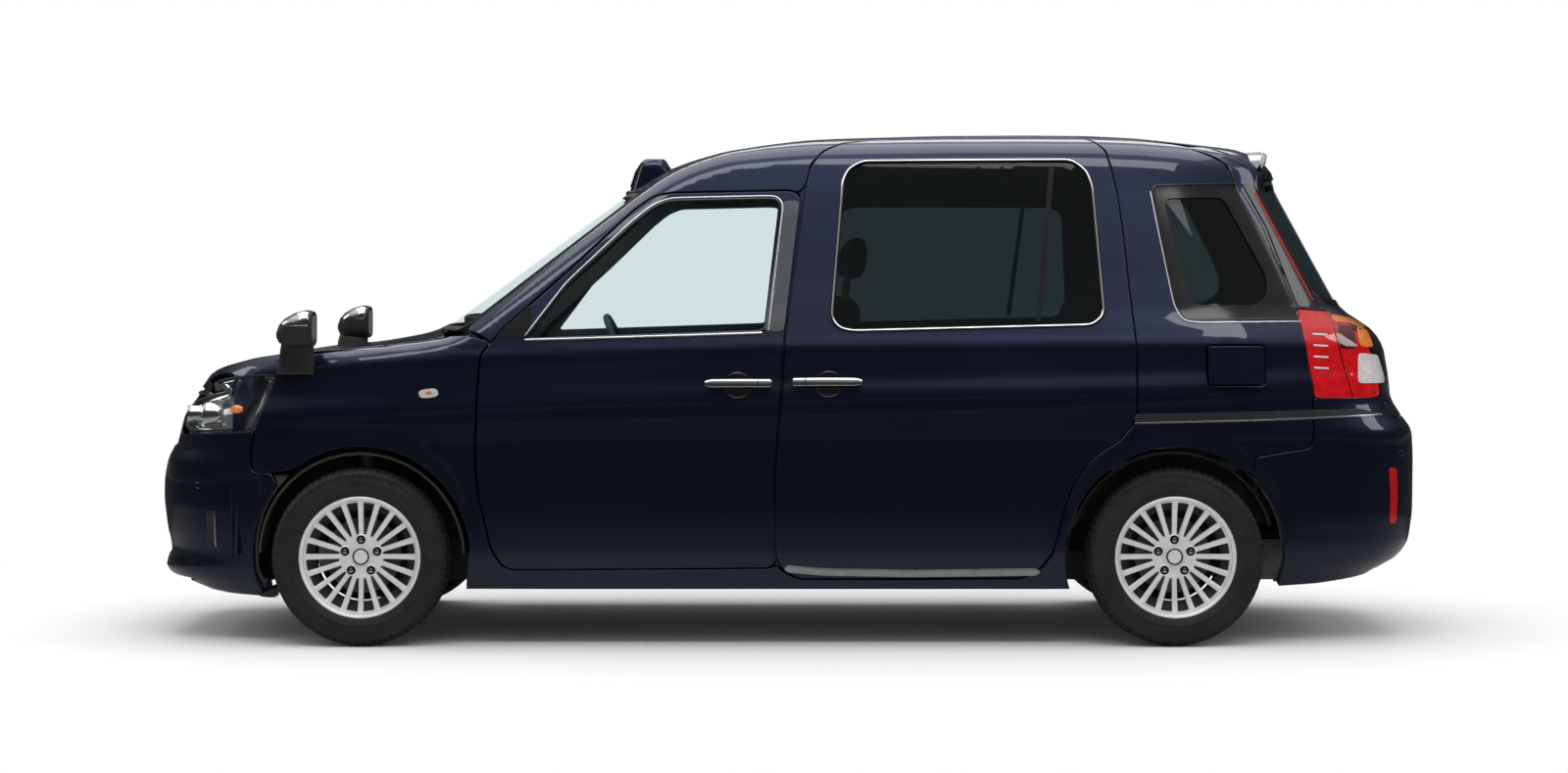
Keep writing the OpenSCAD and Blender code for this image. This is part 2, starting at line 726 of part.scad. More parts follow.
// Fixed halves of the hinges
module door_hinges() {
    color(steel) {
        hinge_sleeves(front_door_line);
        right_side() {
            hinge_sleeves(front_door_line);
            hinge_sleeves(rear_door_line);
        }
    }
}
module lid_hinges() {
    color(steel) {
        for (y = [-hood_arm_y, hood_arm_y]) {
            for (e = [-20, 12]) box([hood_pivot_x - 10, y + e, tray_z], [hood_pivot_x + 10, y + e + 8,
                hood_pivot_z + 8]);
            translate([hood_pivot_x, y, hood_pivot_z]) rotate([90, 0, 0])
                cylinder(r = pin_r, h = 36, center = true, $fn = 48);
        }
        at_gate_hinges() difference() {
            union() {
                cylinder(r = pin_r + 3, h = sleeve_l, center = true, $fn = 48);
                box([-4, -49, -sleeve_l / 2], [4, 0, sleeve_l / 2]);
                box([-44, -49, -sleeve_l / 2], [4, -41, sleeve_l / 2]);
            }
            cylinder(r = pin_r + pin_clear, h = sleeve_l + 2, center = true, $fn = 48);
        }
        lid_pin();
    }
}

// Floor with its rails, strut towers and wheelhouses
rail_y = 430;
rail_z = 430;
rail_end = -2060;
floor_front = -1110;
wall_x = -1070;
wall_t = 30;
riser_x = 955;
rear_wall = 2050;
house_r = 345;
house_t = 9;
track_y = body_w / 2 - wheel_inset;
house_y = track_y - tyre_w / 2 - 90;
tower_y = 600;
tower_z = 823;
tray_z = 945;
module house_arc(x, r0, r1, y0, y1) {
    translate([x, 0, tyre_r]) rotate([90, 0, 0]) translate([0, 0, y0]) difference() {
        cylinder(r = r1, h = y1 - y0, $fn = 40);
        translate([0, 0, -1]) cylinder(r = r0, h = y1 - y0 + 2, $fn = 40);
    }
}
module front_house() {
    intersection() {
        form(26);
        union() {
            difference() {
                union() {
                    house_arc(front_axle, house_r, house_r + house_t, rail_y + 30, body_w);
                    house_arc(front_axle, 0, house_r + house_t, rail_y + 29, rail_y + 44);
                    box([front_axle - 82, -682, 560], [front_axle + 82, -rail_y - 30, tower_z + 10]);
                }
                house_arc(front_axle, 0, house_r, rail_y + 44, body_w);
                box([front_axle - 72, -672, 300], [front_axle + 72, -rail_y - 44, tower_z]);
                box([-far * 9, -body_w, -far], [far * 9, 0, rail_z]);
            }
            difference() {
                house_arc(front_axle, house_r, house_r + house_t, rail_y + 30, body_w);
                box([-far * 9, -body_w, -far], [far * 9, 0, 310]);
                box([front_axle - 72, -672, 300], [front_axle + 72, -rail_y - 44, tower_z]);
            }
        }
    }
}
module floor_pan() {
    color("#2a2c30") mesh() {
        difference() {
            intersection() {
                form(frame_t + fit);
                union() {
                    box([mx(wall_x), -body_w, floor_z - floor_t], [mx(riser_x) + 30, body_w, floor_z]);
                    box([mx(riser_x), -body_w, floor_z - floor_t], [mx(riser_x) + 30, body_w, deck_z]);
                    box([mx(riser_x), -body_w, deck_z - floor_t],
                        [mx(rear_wall) + 12, body_w, deck_z]);
                    box([mx(rear_wall), -body_w, 420], [mx(rear_wall) + 12, body_w, 755]);
                    for (s = [0, 1]) mirror([0, s, 0]) {
                        house_arc(rear_axle, 0, house_r + house_t, house_y - house_t, body_w);
                    }
                }
            }
            for (s = [0, 1]) mirror([0, s, 0]) house_arc(rear_axle, 0, house_r, house_y, body_w);
            difference() {
                translate([rear_axle, body_w, tyre_r]) rotate([90, 0, 0])
                    cylinder(r = house_r + house_t + 1, h = body_w * 2, $fn = 40);
                box([-far * 9, -body_w, 400], [far * 9, body_w, far * 9]);
            }
        }
        for (s = [0, 1]) mirror([0, s, 0]) {
            front_house();
            box([mx(rail_end), -rail_y - 30, rail_z], [mx(wall_x) - 4, -rail_y + 30, rail_z + 80]);
            box([mx(floor_front), -rail_y - 30, floor_z - floor_t],
                [mx(wall_x) - 4, -rail_y + 30, rail_z + 80]);
            box([mx(floor_front), -rail_y - 30, floor_z - floor_t],
                [mx(wall_x) + 5, -rail_y + 30, floor_z - 0.01]);
        }
    }
}
// Wall behind the engine, the rain tray and the curved scuttle under the glass
module firewall() {
    color("#24262b") mesh() {
        intersection() {
            form(frame_t + fit);
            box([mx(wall_x), -body_w, floor_z + fit], [mx(wall_x) + wall_t, body_w, 1000]);
        }
        intersection() {
            form(9);
            union() {
                box([mx(-1250), -scuttle_half, tray_z - 15], [mx(wall_x) + 1, scuttle_half, tray_z]);
                translate([0, 0, tray_z - 15]) linear_extrude(far) polygon(concat(
                    [for (i = [-8:8]) let (y = scuttle_half * i / 8) [mx(scuttle_x(y)) - 5, y]],
                    [for (i = [8:-1:-8]) let (y = scuttle_half * i / 8) [mx(scuttle_x(y)) + 5, y]]));
            }
        }
    }
}
scuttle_half = 688;
function scuttle_x(y) = -1150 + 165 * pow(y / drawn_w * 2, 2);

// Sign lamp on the roof's front edge and the mirrors on the fenders
module roof_lamp() {
    color(navy) mesh() difference() {
        slab(-215, 215) side_2d([[-566, 1500], [-560, 1552], [-523, 1654], [-505, 1663],
            [-450, 1667], [-432, 1658], [-410, 1618], [-400, 1560]]);
        form(-fit);
    }
}
mirror_in = 707;
mirror_out = 862;
module fender_mirror() {
    difference() {
        union() {
            slab(mirror_in * ky, mirror_out * ky) side_2d([[-1724, 1040], [-1722, 1095], [-1700, 1126],
                [-1670, 1134], [-1600, 1133], [-1597, 1009], [-1690, 1012]]);
            slab(mirror_in * ky + 6, mirror_in * ky + 66) side_2d([[-1735, 920], [-1600, 920],
                [-1600, 975], [-1640, 1014], [-1690, 1014], [-1735, 968]]);
        }
        form(-fit);
    }
}
module fender_mirrors() {
    color(black) mesh() {
        fender_mirror();
        right_side() fender_mirror();
    }
}

// Cabin
dash_face = -762;
wheel_at = [-590, 350, 928];
wheel_rake = 25;
module prism(points, y0, y1) {
    translate([0, y1, 0]) rotate([90, 0, 0]) linear_extrude(y1 - y0) polygon(points);
}
module dashboard() {
    front = mx(wall_x) + wall_t;
    color("#1b1c20") {
        prism([[front, 690], [front, 975], [mx(-960), 1022], [mx(-830), 1018], [mx(dash_face), 985],
            [mx(dash_face), 740], [mx(-840), 690]], -640, 640);
        prism([[front, floor_z], [front, 691], [mx(-840), 691], [mx(-860), floor_z]], -130, 130);
    }
}
module steering_wheel() {
    color(black) intersection() {
        translate([mx(wheel_at[0]), wheel_at[1], wheel_at[2]]) rotate([0, 90 - wheel_rake, 0]) {
            rotate_extrude($fn = 64) translate([steering_r, 0]) circle(14, $fn = 24);
            cylinder(r = 52, h = 36, center = true, $fn = 40);
            for (a = [-20, 90, 200]) rotate([0, 0, a - 90]) box([40, -14, -8], [steering_r, 14, 6]);
            translate([0, 0, -320]) cylinder(r = 26, h = 310, $fn = 32);
        }
        box([mx(dash_face) + fit, -body_w, 0], [body_l, body_w, body_h]);
    }
}
seat_y = 350;
module front_seat() {
    prism([[-450, 590], [-455, 640], [-425, 662], [-350, 655], [50, 618], [50, 560], [-430, 560]],
        seat_y - 250, seat_y + 250);
    prism([[0, 600], [60, 561], [120, 600], [262, 1180], [235, 1205], [180, 1205], [160, 1180]],
        seat_y - 240, seat_y + 240);
    prism([[180, 1240], [262, 1230], [288, 1370], [268, 1392], [225, 1395], [205, 1375]],
        seat_y - 135, seat_y + 135);
    for (y = [-55, 55]) translate([210, seat_y + y, 1180]) rotate([0, 9, 0])
        cylinder(r = 7, h = 80, $fn = 24);
    box([-390, seat_y - 200, floor_z], [20, seat_y + 200, 561]);
}
module front_seats() {
    color("#2b2d33") {
        front_seat();
        right_side() front_seat();
    }
}
bench_half = 540;
module rear_seat() {
    front = mx(riser_x);
    color("#2b2d33") {
        prism([[front - 500, 590], [front - 505, 640], [front - 470, 660], [front - 60, 632],
            [front - 10, 600], [front - 10, 540], [front - 480, 540]], -bench_half, bench_half);
        prism([[front - 70, 636], [front - 12, 590], [front - 12, 640], [front + 60, deck_z + 1],
            [front + 190, 1180], [front + 165, 1205], [front + 110, 1205], [front + 90, 1180]],
            -bench_half, bench_half);
        for (y = [-330, 330]) prism([[front + 110, 1200], [front + 190, 1190], [front + 215, 1330],
            [front + 195, 1350], [front + 150, 1352], [front + 130, 1335]], y - 130, y + 130);
        box([front - 420, -480, floor_z], [front - 20, 480, 541]);
    }
}

// Engine and running gear
module engine_block() {
    color(steel) {
        box([mx(-1960), -330, 330], [mx(-1530), 330, 790]);
        for (s = [-1, 1]) box([mx(-1790), min(s * 329, s * (rail_y - 30)), 440],
            [mx(-1700), max(s * 329, s * (rail_y - 30)), 500]);
    }
}
arm_z = 212;
ball_y = track_y - 66;
module front_subframe() {
    color(steel) {
        box([front_axle - 90, -rail_y - 26, 182], [front_axle + 90, rail_y + 26, 236]);
        for (s = [0, 1]) mirror([0, s, 0]) {
            box([front_axle - 60, rail_y - 24, 235], [front_axle + 60, rail_y + 24, rail_z]);
            box([front_axle - 18, rail_y, 190], [front_axle + 18, ball_y, arm_z]);
            translate([front_axle, ball_y, 190]) cylinder(r = 18, h = arm_z - 190, $fn = 40);
        }
    }
}
disc_r = 128;
disc_y = track_y - 34;
module knuckle() {
    ball_z = arm_z + fit + 12;
    rod_z = tower_z - fit - 11;
    color(steel) {
        translate([front_axle, ball_y, ball_z])
            rotate([atan2(ball_y - tower_y, rod_z - ball_z), 0, 0]) {
                sphere(12, $fn = 32);
                cylinder(r = 8, h = 24, $fn = 32);
            }
        box([front_axle - 24, disc_y - 52, ball_z + 16], [front_axle + 24, disc_y - 10, tyre_r + 120]);
        box([front_axle - 22, tower_y - 12, tyre_r + 84], [front_axle + 22, disc_y - 40, tyre_r + 120]);
        translate([front_axle, tower_y, tyre_r + 84]) cylinder(r = 24, h = 310, $fn = 40);
        translate([front_axle, tower_y, tyre_r + 390]) cylinder(r = 11, h = rod_z - tyre_r - 390, $fn = 32);
        translate([front_axle, tower_y, rod_z]) sphere(11, $fn = 32);
        box([front_axle + 20, disc_y - 50, tyre_r - 12], [front_axle + 125, disc_y - 34, tyre_r + 8]);
        translate([front_axle, disc_y - 20, tyre_r]) rotate([-90, 0, 0])
            cylinder(r = spindle_r, h = track_y + 22 - disc_y + 20, $fn = 48);
        translate([front_axle, 0, tyre_r]) difference() {
            intersection() {
                rotate([-90, 0, 0]) cylinder(r = disc_r + 22, h = 2000, $fn = 64);
                box([-150, disc_y - 22, -42], [-70, disc_y + 34, 42]);
            }
            rotate([-90, 0, 0]) translate([0, 0, disc_y - 6])
                cylinder(r = disc_r + 5, h = 24, $fn = 64);
        }
        box([front_axle - 90, disc_y - 22, tyre_r - 18], [front_axle - 20, disc_y - 9, tyre_r + 18]);
    }
}
module knuckle_right() {
    knuckle();
}
module knuckle_left() {
    right_side() knuckle();
}
// A wheel's own frame: its axis is Z, with the street side up
module at_wheel(x, right) {
    translate([x, right ? track_y : -track_y, tyre_r]) rotate([right ? -90 : 90, 0, 0]) children();
}
module tyre() {
    half = tyre_w / 2;
    seat = rim_r - 14 + fit;
    side = [[seat, 71.4], [rim_r + 0.5, 73.4], [rim_r + 0.5, 80.5], [rim_r + 10, half - 4.5],
        [rim_r + 35, half], [tyre_r - 40, half - 0.5], [tyre_r - 17, half - 8],
        [tyre_r - 5, half - 22], [tyre_r, half - 38]];
    color(black) rotate_extrude($fn = 96) polygon(concat(side,
        [for (i = [len(side) - 1:-1:0]) [side[i][0], -side[i][1]]]));
}
module rim() {
    r = rim_r;
    color(silver) difference() {
        union() {
            rotate_extrude($fn = 96) polygon([[r, -80], [r, -74], [r - 14, -72], [r - 16, -45],
                [r - 40, -35], [r - 40, 20], [r - 16, 40], [r - 14, 72], [r, 74], [r, 80],
                [r - 6, 80], [r - 20, 66], [r - 22, 44], [r - 46, 24], [r - 46, -38],
                [r - 22, -48], [r - 20, -68], [r - 6, -80]]);
            translate([0, 0, 8]) linear_extrude(20) {
                circle(66, $fn = 48);
                difference() {
                    circle(r - 43, $fn = 96);
                    circle(r - 56, $fn = 96);
                }
                for (i = [0:spokes - 1]) rotate(360 * i / spokes) translate([50, -5]) square([r - 98, 10]);
            }
            translate([0, 0, -38]) cylinder(r = 66, h = 50, $fn = 64);
            translate([0, 0, -38]) cylinder(r = disc_r, h = 12, $fn = 96);
        }
        translate([0, 0, -40]) cylinder(r = spindle_r + fit, h = 64, $fn = 48);
    }
}
module tyre_front_left() { at_wheel(front_axle, false) tyre(); }
module tyre_front_right() { at_wheel(front_axle, true) tyre(); }
module tyre_rear_left() { at_wheel(rear_axle, false) tyre(); }
module tyre_rear_right() { at_wheel(rear_axle, true) tyre(); }
module rim_front_left() { at_wheel(front_axle, false) rim(); }
module rim_front_right() { at_wheel(front_axle, true) rim(); }
module rim_rear_left() { at_wheel(rear_axle, false) rim(); }
module rim_rear_right() { at_wheel(rear_axle, true) rim(); }

module rear_axle() {
    beam_x = rear_axle - 170;
    color(steel) {
        translate([beam_x, 540, tyre_r]) rotate([90, 0, 0]) cylinder(r = 34, h = 1080, $fn = 40);
        for (s = [0, 1]) mirror([0, s, 0]) {
            box([mx(riser_x) - 75, 500, 262], [rear_axle + 30, 540, floor_z - floor_t - fit]);
            box([beam_x - 20, 500, 262], [rear_axle + 30, 540, 340]);
            box([rear_axle - 30, 539, tyre_r - 40], [rear_axle + 30, disc_y - 55, tyre_r + 40]);
            translate([rear_axle, disc_y - 56, tyre_r]) rotate([-90, 0, 0])
                cylinder(r = 112, h = 12, $fn = 48);
            translate([rear_axle, disc_y - 56, tyre_r]) rotate([-90, 0, 0])
                cylinder(r = spindle_r, h = track_y + 22 - disc_y + 56, $fn = 48);
            translate([beam_x + 70, 450, 300]) cylinder(r = 42, h = deck_z - floor_t - fit - 300, $fn = 40);
            box([beam_x + 10, 400, 285], [beam_x + 125, 501, 301]);
        }
    }
}
module exhaust() {
    y = -250;
    color(steel) {
        translate([mx(-1300), y, 216]) rotate([0, 90, 0])
            cylinder(r = 22, h = mx(1510) - mx(-1300), $fn = 32);
        box([mx(1500), y - 150, 190], [mx(1940), y + 130, 330]);
        translate([mx(1930), y, 262]) rotate([0, 90, 0]) cylinder(r = 20, h = 120, $fn = 32);
        box([mx(1640), y - 12, 329], [mx(1660), y + 12, deck_z - floor_t - fit]);
        for (x = [-800, 400]) box([mx(x), y - 10, 230], [mx(x) + 16, y + 10, floor_z - floor_t - fit]);
    }
}

// Carriers for the number plates, each with two screw holes
plate_z = 470;
rear_plate_z = 930;
module plate_holder(t) {
    difference() {
        box([-t, -plate_w / 2, -plate_h / 2], [0, plate_w / 2, plate_h / 2]);
        for (y = [-plate_pitch / 2, plate_pitch / 2]) translate([0, y, plate_h / 2 - 20])
            rotate([0, 90, 0]) cylinder(r = plate_hole_r, h = 60, center = true, $fn = 40);
    }
}
module front_plate_holder() {
    color(black) translate([-body_l / 2 + 19 - fit, 0, plate_z]) plate_holder(13);
}
module rear_plate_holder() {
    color(black) translate([mx(2084) + fit, 0, rear_plate_z]) mirror([1, 0, 0]) plate_holder(13);
}

body_side_left();
body_side_right();
floor_pan();
firewall();
roof_panel();
fender_left();
fender_right();
front_bumper();
rear_bumper();
grille();
headlamps();
tail_lamps();
windscreen();
side_glass();
sliding_door();
door_hinges();
lid_hinges();
roof_lamp();
fender_mirrors();
dashboard();
steering_wheel();
front_seats();
rear_seat();
engine_block();
front_subframe();
rear_axle();
exhaust();
front_plate_holder();
hood();
front_door_left();
front_door_right();
front_glass_left();
front_glass_right();
rear_door_right();
rear_glass_right();
tailgate();
tailgate_glass();
rear_plate_holder();
fuel_lid();
knuckle_left();
knuckle_right();
tyre_front_left();
tyre_front_right();
tyre_rear_left();
tyre_rear_right();
rim_front_left();
rim_front_right();
rim_rear_left();
rim_rear_right();
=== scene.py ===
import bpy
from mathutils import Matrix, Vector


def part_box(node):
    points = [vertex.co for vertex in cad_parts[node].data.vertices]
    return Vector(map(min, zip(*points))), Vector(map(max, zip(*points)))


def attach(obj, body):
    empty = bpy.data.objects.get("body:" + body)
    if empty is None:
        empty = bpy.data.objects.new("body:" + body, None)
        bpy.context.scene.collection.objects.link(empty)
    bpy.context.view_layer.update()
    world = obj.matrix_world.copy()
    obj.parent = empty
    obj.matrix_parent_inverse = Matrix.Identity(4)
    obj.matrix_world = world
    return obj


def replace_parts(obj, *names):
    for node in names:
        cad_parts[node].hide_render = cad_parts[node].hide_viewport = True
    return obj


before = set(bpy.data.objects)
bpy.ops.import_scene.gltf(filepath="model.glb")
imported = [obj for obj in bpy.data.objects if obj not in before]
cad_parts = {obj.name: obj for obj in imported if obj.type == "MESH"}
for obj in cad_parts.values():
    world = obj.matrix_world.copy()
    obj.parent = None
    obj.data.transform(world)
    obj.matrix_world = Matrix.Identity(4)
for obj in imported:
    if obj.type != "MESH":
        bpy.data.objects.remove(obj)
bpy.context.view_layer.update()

# %% [markdown]
# # A taxi in paint, glass and rubber
# The construction model already fixes every size, pivot and clearance of the car, and it is
# loaded above as a frame that nothing below moves. What it lacks is smooth skin, light and
# material. This notebook lays a finer skin over that frame, piece by piece, in the same
# coordinates: +X to the rear, +Y to the car's right, +Z up, with the ground at zero.

# %% Tools and units
import math
import bpy
import bmesh
import numpy as np
from mathutils import Vector, Matrix
from mathutils.geometry import delaunay_2d_cdt

MM = 0.001
scene = bpy.context.scene
front_axle = -1440.0
rear_axle = 1310.0
tyre_r = 301.5
arch_r = 371.0
bolt_ring = 57.15
half_width = 847.5

# %% [markdown]
# ## Camera
# A side portrait of a car is taken from far away with a long lens, so that the near and far
# wheels almost line up. The camera stands level at a little over a metre, and the picture is
# slid down with the lens shift instead of tilting, which keeps the pillars upright.

# %% Camera
eye = bpy.data.cameras.new("eye")
eye.lens = 78.5
eye.sensor_width = 36.0
eye.shift_x = -0.0019
eye.shift_y = -0.074
camera = bpy.data.objects.new("camera", eye)
camera.location = (0.0, -12.34, 1.269)
camera.rotation_euler = (math.radians(90), 0, 0)
scene.collection.objects.link(camera)
scene.camera = camera
scene.view_settings.view_transform = "Standard"
print("camera at", tuple(camera.location), "lens", eye.lens)

# %% [markdown]
# ## Shader arithmetic
# A node tree is a formula. Wrapping a socket in a small class lets the formula be written as
# one: `a * 2 + b` adds two Math nodes. Every other node comes from the same `node` method, which
# takes the node's type, its settings, and the values or links of its sockets.

# %% Sockets as numbers
class Wire:
    def __init__(self, tree, socket=None):
        self.tree, self.socket = tree, socket

    def node(self, kind, settings=None, out=0, **sockets):
        n = self.tree.nodes.new(kind)
        for key, value in (settings or {}).items():
            if key == "stops":
                ramp = n.color_ramp
                while len(ramp.elements) < len(value):
                    ramp.elements.new(0.5)
                for stop, (place, tone) in zip(ramp.elements, value):
                    stop.position = place
                    stop.color = tone if len(tone) == 4 else (*tone, 1)
            else:
                setattr(n, key, value)
        for key, value in sockets.items():
            name = key.replace("_", " ")
            socket = n.inputs[int(key[1:])] if key[0] == "i" and key[1:].isdigit() else n.inputs[name]
            if isinstance(value, Wire):
                self.tree.links.new(value.socket, socket)
            else:
                socket.default_value = value
        return Wire(self.tree, n.outputs[out]) if len(n.outputs) else n

    def _math(self, kind, a, b):
        return self.node("ShaderNodeMath", {"operation": kind}, i0=a, i1=b)

    def __add__(self, b): return self._math("ADD", self, b)
    def __radd__(self, b): return self._math("ADD", b, self)
    def __sub__(self, b): return self._math("SUBTRACT", self, b)
    def __rsub__(self, b): return self._math("SUBTRACT", b, self)
    def __mul__(self, b): return self._math("MULTIPLY", self, b)
    def __rmul__(self, b): return self._math("MULTIPLY", b, self)

    def sine(self): return self._math("SINE", self, 0.0)

    def step(self, low, high):
        return self.node("ShaderNodeMapRange", {"interpolation_type": "SMOOTHSTEP"},
                         Value=self, From_Min=low, From_Max=high)

    def noise(self, scale, detail=3.0, where=None):
        place = where or self.node("ShaderNodeTexCoord", out=3)
        return self.node("ShaderNodeTexNoise", Vector=place, Scale=scale, Detail=detail)

    def tone(self, factor, a, b):
        return self.node("ShaderNodeMix", {"data_type": "RGBA"}, out=2, i0=factor,
                         i6=a if isinstance(a, Wire) else (*a, 1), i7=b if isinstance(b, Wire) else (*b, 1))


def material(name):
    """A new node material with an empty node tree; returns it with a Wire to build from."""
    m = bpy.data.materials.new(name)
    m.use_nodes = True
    m.node_tree.nodes.clear()
    return m, Wire(m.node_tree)


def finish_surface(m, w, surface):
    out = m.node_tree.nodes.new("ShaderNodeOutputMaterial")
    m.node_tree.links.new(surface.socket, out.inputs["Surface"])
    return m


def surface(name, base, second=None, scale=30.0, rough=(0.4, 0.5), grain=0.0, grain_scale=900.0,
            see=None, bands=None, **shader):
    """A finish with a drifting tone, a drifting roughness and a fine grain."""
    m, w = material(name)
    drift = w.noise(scale, 4.0)
    shader["Base_Color"] = w.tone(drift.step(0.3, 0.7), base, second or base)
    fine = w.noise(grain_scale, 2.0)
    shader["Roughness"] = drift * (rough[1] - rough[0]) + rough[0]
    if grain or bands:
        height = fine * grain
        if bands:
            height = height + bands(w)
        shader["Normal"] = w.node("ShaderNodeBump", Strength=1.0, Distance=0.001, Height=height)
    body = w.node("ShaderNodeBsdfPrincipled", **shader)
    if see is not None:
        tint, share = see
        through = w.node("ShaderNodeBsdfTransparent", Color=(*tint, 1))
        body = w.node("ShaderNodeMixShader", i0=share, i1=through, i2=body)
    return finish_surface(m, w, body)

# %% [markdown]
# ## Finishes
# Car paint is a dark base under a clear coat: the base carries the colour and a little
# metal flake, and the coat carries the sharp reflection. Rubber and moulded plastic have no
# coat, only a fine grain. Bright trim is metal, and glass lets most light straight through.

# %% Paint
def paint():
    m, w = material("navy_paint")
    flake = w.node("ShaderNodeTexVoronoi", Vector=w.node("ShaderNodeTexCoord", out=3), Scale=2600.0)
    cloud = w.noise(2.2, 3.0)
    tone = w.tone(cloud.step(0.35, 0.65), (0.011, 0.016, 0.042), (0.013, 0.019, 0.050))
    glint = flake.step(0.05, 0.6)
    base = w.tone(glint, (0.020, 0.028, 0.066), tone)
    peel = w.noise(160.0, 2.0)
    bump = w.node("ShaderNodeBump", Strength=0.012, Distance=0.001, Height=peel)
    shade = w.node("ShaderNodeBsdfPrincipled", Base_Color=base, Roughness=cloud * 0.06 + 0.36,
                   Metallic=0.9, Specular_IOR_Level=0.5, Coat_Weight=1.0, Coat_Roughness=0.025,
                   Coat_IOR=1.5, Normal=bump)
    return finish_surface(m, w, shade)


navy = paint()
black = surface("black_plastic", (0.012, 0.012, 0.013), (0.018, 0.018, 0.019), 14, (0.48, 0.6), 0.12)
gloss = surface("gloss_black", (0.006, 0.006, 0.007), (0.009, 0.009, 0.010), 8, (0.10, 0.14))
# dull black of the underbody; the same finish on the wheel barrels is painted shade for the inside of the
# wheel
under = surface("underbody_black", (0.016, 0.016, 0.016), (0.028, 0.026, 0.024), 9, (0.7, 0.9), 0.5, 300)
satin = surface("satin_trim", (0.50, 0.51, 0.52), (0.58, 0.59, 0.60), 25, (0.24, 0.32), 0.02, Metallic=1.0)
chrome = surface("bright_chrome", (0.82, 0.83, 0.84), (0.86, 0.87, 0.88), 12, (0.05, 0.08), Metallic=1.0)
silver = surface("wheel_silver", (0.80, 0.81, 0.82), (0.86, 0.87, 0.88), 40, (0.30, 0.38), 0.02,
                 2400, Metallic=0.35, Coat_Weight=0.8, Coat_Roughness=0.06)
smoke = surface("smoke_trim", (0.075, 0.08, 0.09), (0.10, 0.105, 0.115), 12, (0.30, 0.34), Metallic=0.6)
steel = surface("bare_steel", (0.30, 0.30, 0.30), (0.40, 0.39, 0.38), 30, (0.35, 0.5), 0.08, Metallic=1.0)
alloy = surface("cast_alloy", (0.34, 0.35, 0.35), (0.44, 0.44, 0.44), 60, (0.45, 0.6), 0.4, 500,
                Metallic=0.9)
rubber = surface("tyre_rubber", (0.008, 0.008, 0.009), (0.013, 0.013, 0.013), 20, (0.62, 0.78), 0.15, 1200)
clear = surface("clear_glass", (0.02, 0.03, 0.03), None, 5, (0.01, 0.02), see=((0.96, 1.0, 1.0), 0.07),
                Specular_IOR_Level=0.6)
tinted = surface("tinted_glass", (0.004, 0.006, 0.006), None, 5, (0.01, 0.02),
                 see=((0.52, 0.60, 0.62), 0.38), Specular_IOR_Level=0.6)
print("finishes so far:", len(bpy.data.materials))

# %% [markdown]
# ## Studio
# Dark paint shows the room more than itself. A wide soft light hangs over the car, a second
# one leans in from the camera's side and two smaller ones fill the ends. The floor is pale
# and plain. To the camera the room is white, while the paint mirrors a quiet grey room with a
# bright ceiling, as in a studio with black drapes behind the camera.

# %% Floor and room
def floor():
    mesh = bpy.data.meshes.new("studio_floor")
    n, reach = 24, 30.0
    pts = [(-reach + 2 * reach * i / n, -reach + 2 * reach * j / n, 0.0)
           for i in range(n + 1) for j in range(n + 1)]
    quads = [(i * (n + 1) + j, (i + 1) * (n + 1) + j, (i + 1) * (n + 1) + j + 1, i * (n + 1) + j + 1)
             for i in range(n) for j in range(n)]
    mesh.from_pydata(pts, [], quads)
    obj = bpy.data.objects.new("studio_floor", mesh)
    scene.collection.objects.link(obj)
    m, w = material("floor_paper")
    lit = w.node("ShaderNodeBsdfPrincipled", Base_Color=(0.9, 0.9, 0.9, 1), Roughness=0.9,
                 Specular_IOR_Level=0.1)
    white = w.node("ShaderNodeEmission", Color=(1, 1, 1, 1), Strength=1.0)
    rays = w.node("ShaderNodeLightPath")
    where = w.node("ShaderNodeTexCoord", out=3)
    gap = w.node("ShaderNodeVectorMath", {"operation": "MULTIPLY"}, i0=where, i1=(0.36, 0.72, 0.0))
    away = w.node("ShaderNodeVectorMath", {"operation": "LENGTH"}, out=1, i0=gap)
    dim = w.node("ShaderNodeEmission", Color=(1, 1, 1, 1), Strength=0.03)
    mirror = w.node("ShaderNodeLightPath", out=3)
    quiet = w.node("ShaderNodeMixShader", i0=(away.step(0.5, 2.0) * 0.4 + 0.6) * mirror, i1=lit, i2=dim)
    share = away.step(1.0, 2.1) * rays
    mesh.materials.append(finish_surface(m, w, w.node("ShaderNodeMixShader", i0=share, i1=quiet, i2=white)))


def room():
    world = bpy.data.worlds.new("room")
    scene.world = world
    world.use_nodes = True
    tree = world.node_tree
    tree.nodes.clear()
    w = Wire(tree)
    up = w.node("ShaderNodeSeparateXYZ", out=2, Vector=w.node("ShaderNodeTexCoord", out=0))
    seen = w.node("ShaderNodeLightPath")
    through = w.node("ShaderNodeLightPath", out=6)
    mirror = w.node("ShaderNodeLightPath", out=3)
    drape = w.node("ShaderNodeValToRGB",
                   {"stops": [(0.0, (0.5,) * 3), (0.49, (0.10,) * 3), (0.53, (0.025,) * 3),
                              (0.68, (0.03,) * 3), (0.80, (0.28,) * 3), (1.0, (0.9,) * 3)]},
                   i0=up * 0.5 + 0.5)
    plain = w.node("ShaderNodeBackground", Color=(1, 1, 1, 1), Strength=0.62)
    mirrored = w.node("ShaderNodeBackground", Color=drape, Strength=1.0)
    white = w.node("ShaderNodeBackground", Color=(1, 1, 1, 1), Strength=1.0)
    both = w.node("ShaderNodeMixShader", i0=mirror, i1=plain, i2=mirrored)
    last = w.node("ShaderNodeMixShader", i0=w._math("MAXIMUM", seen, through), i1=both, i2=white)
    out = tree.nodes.new("ShaderNodeOutputWorld")
    tree.links.new(last.socket, out.inputs["Surface"])


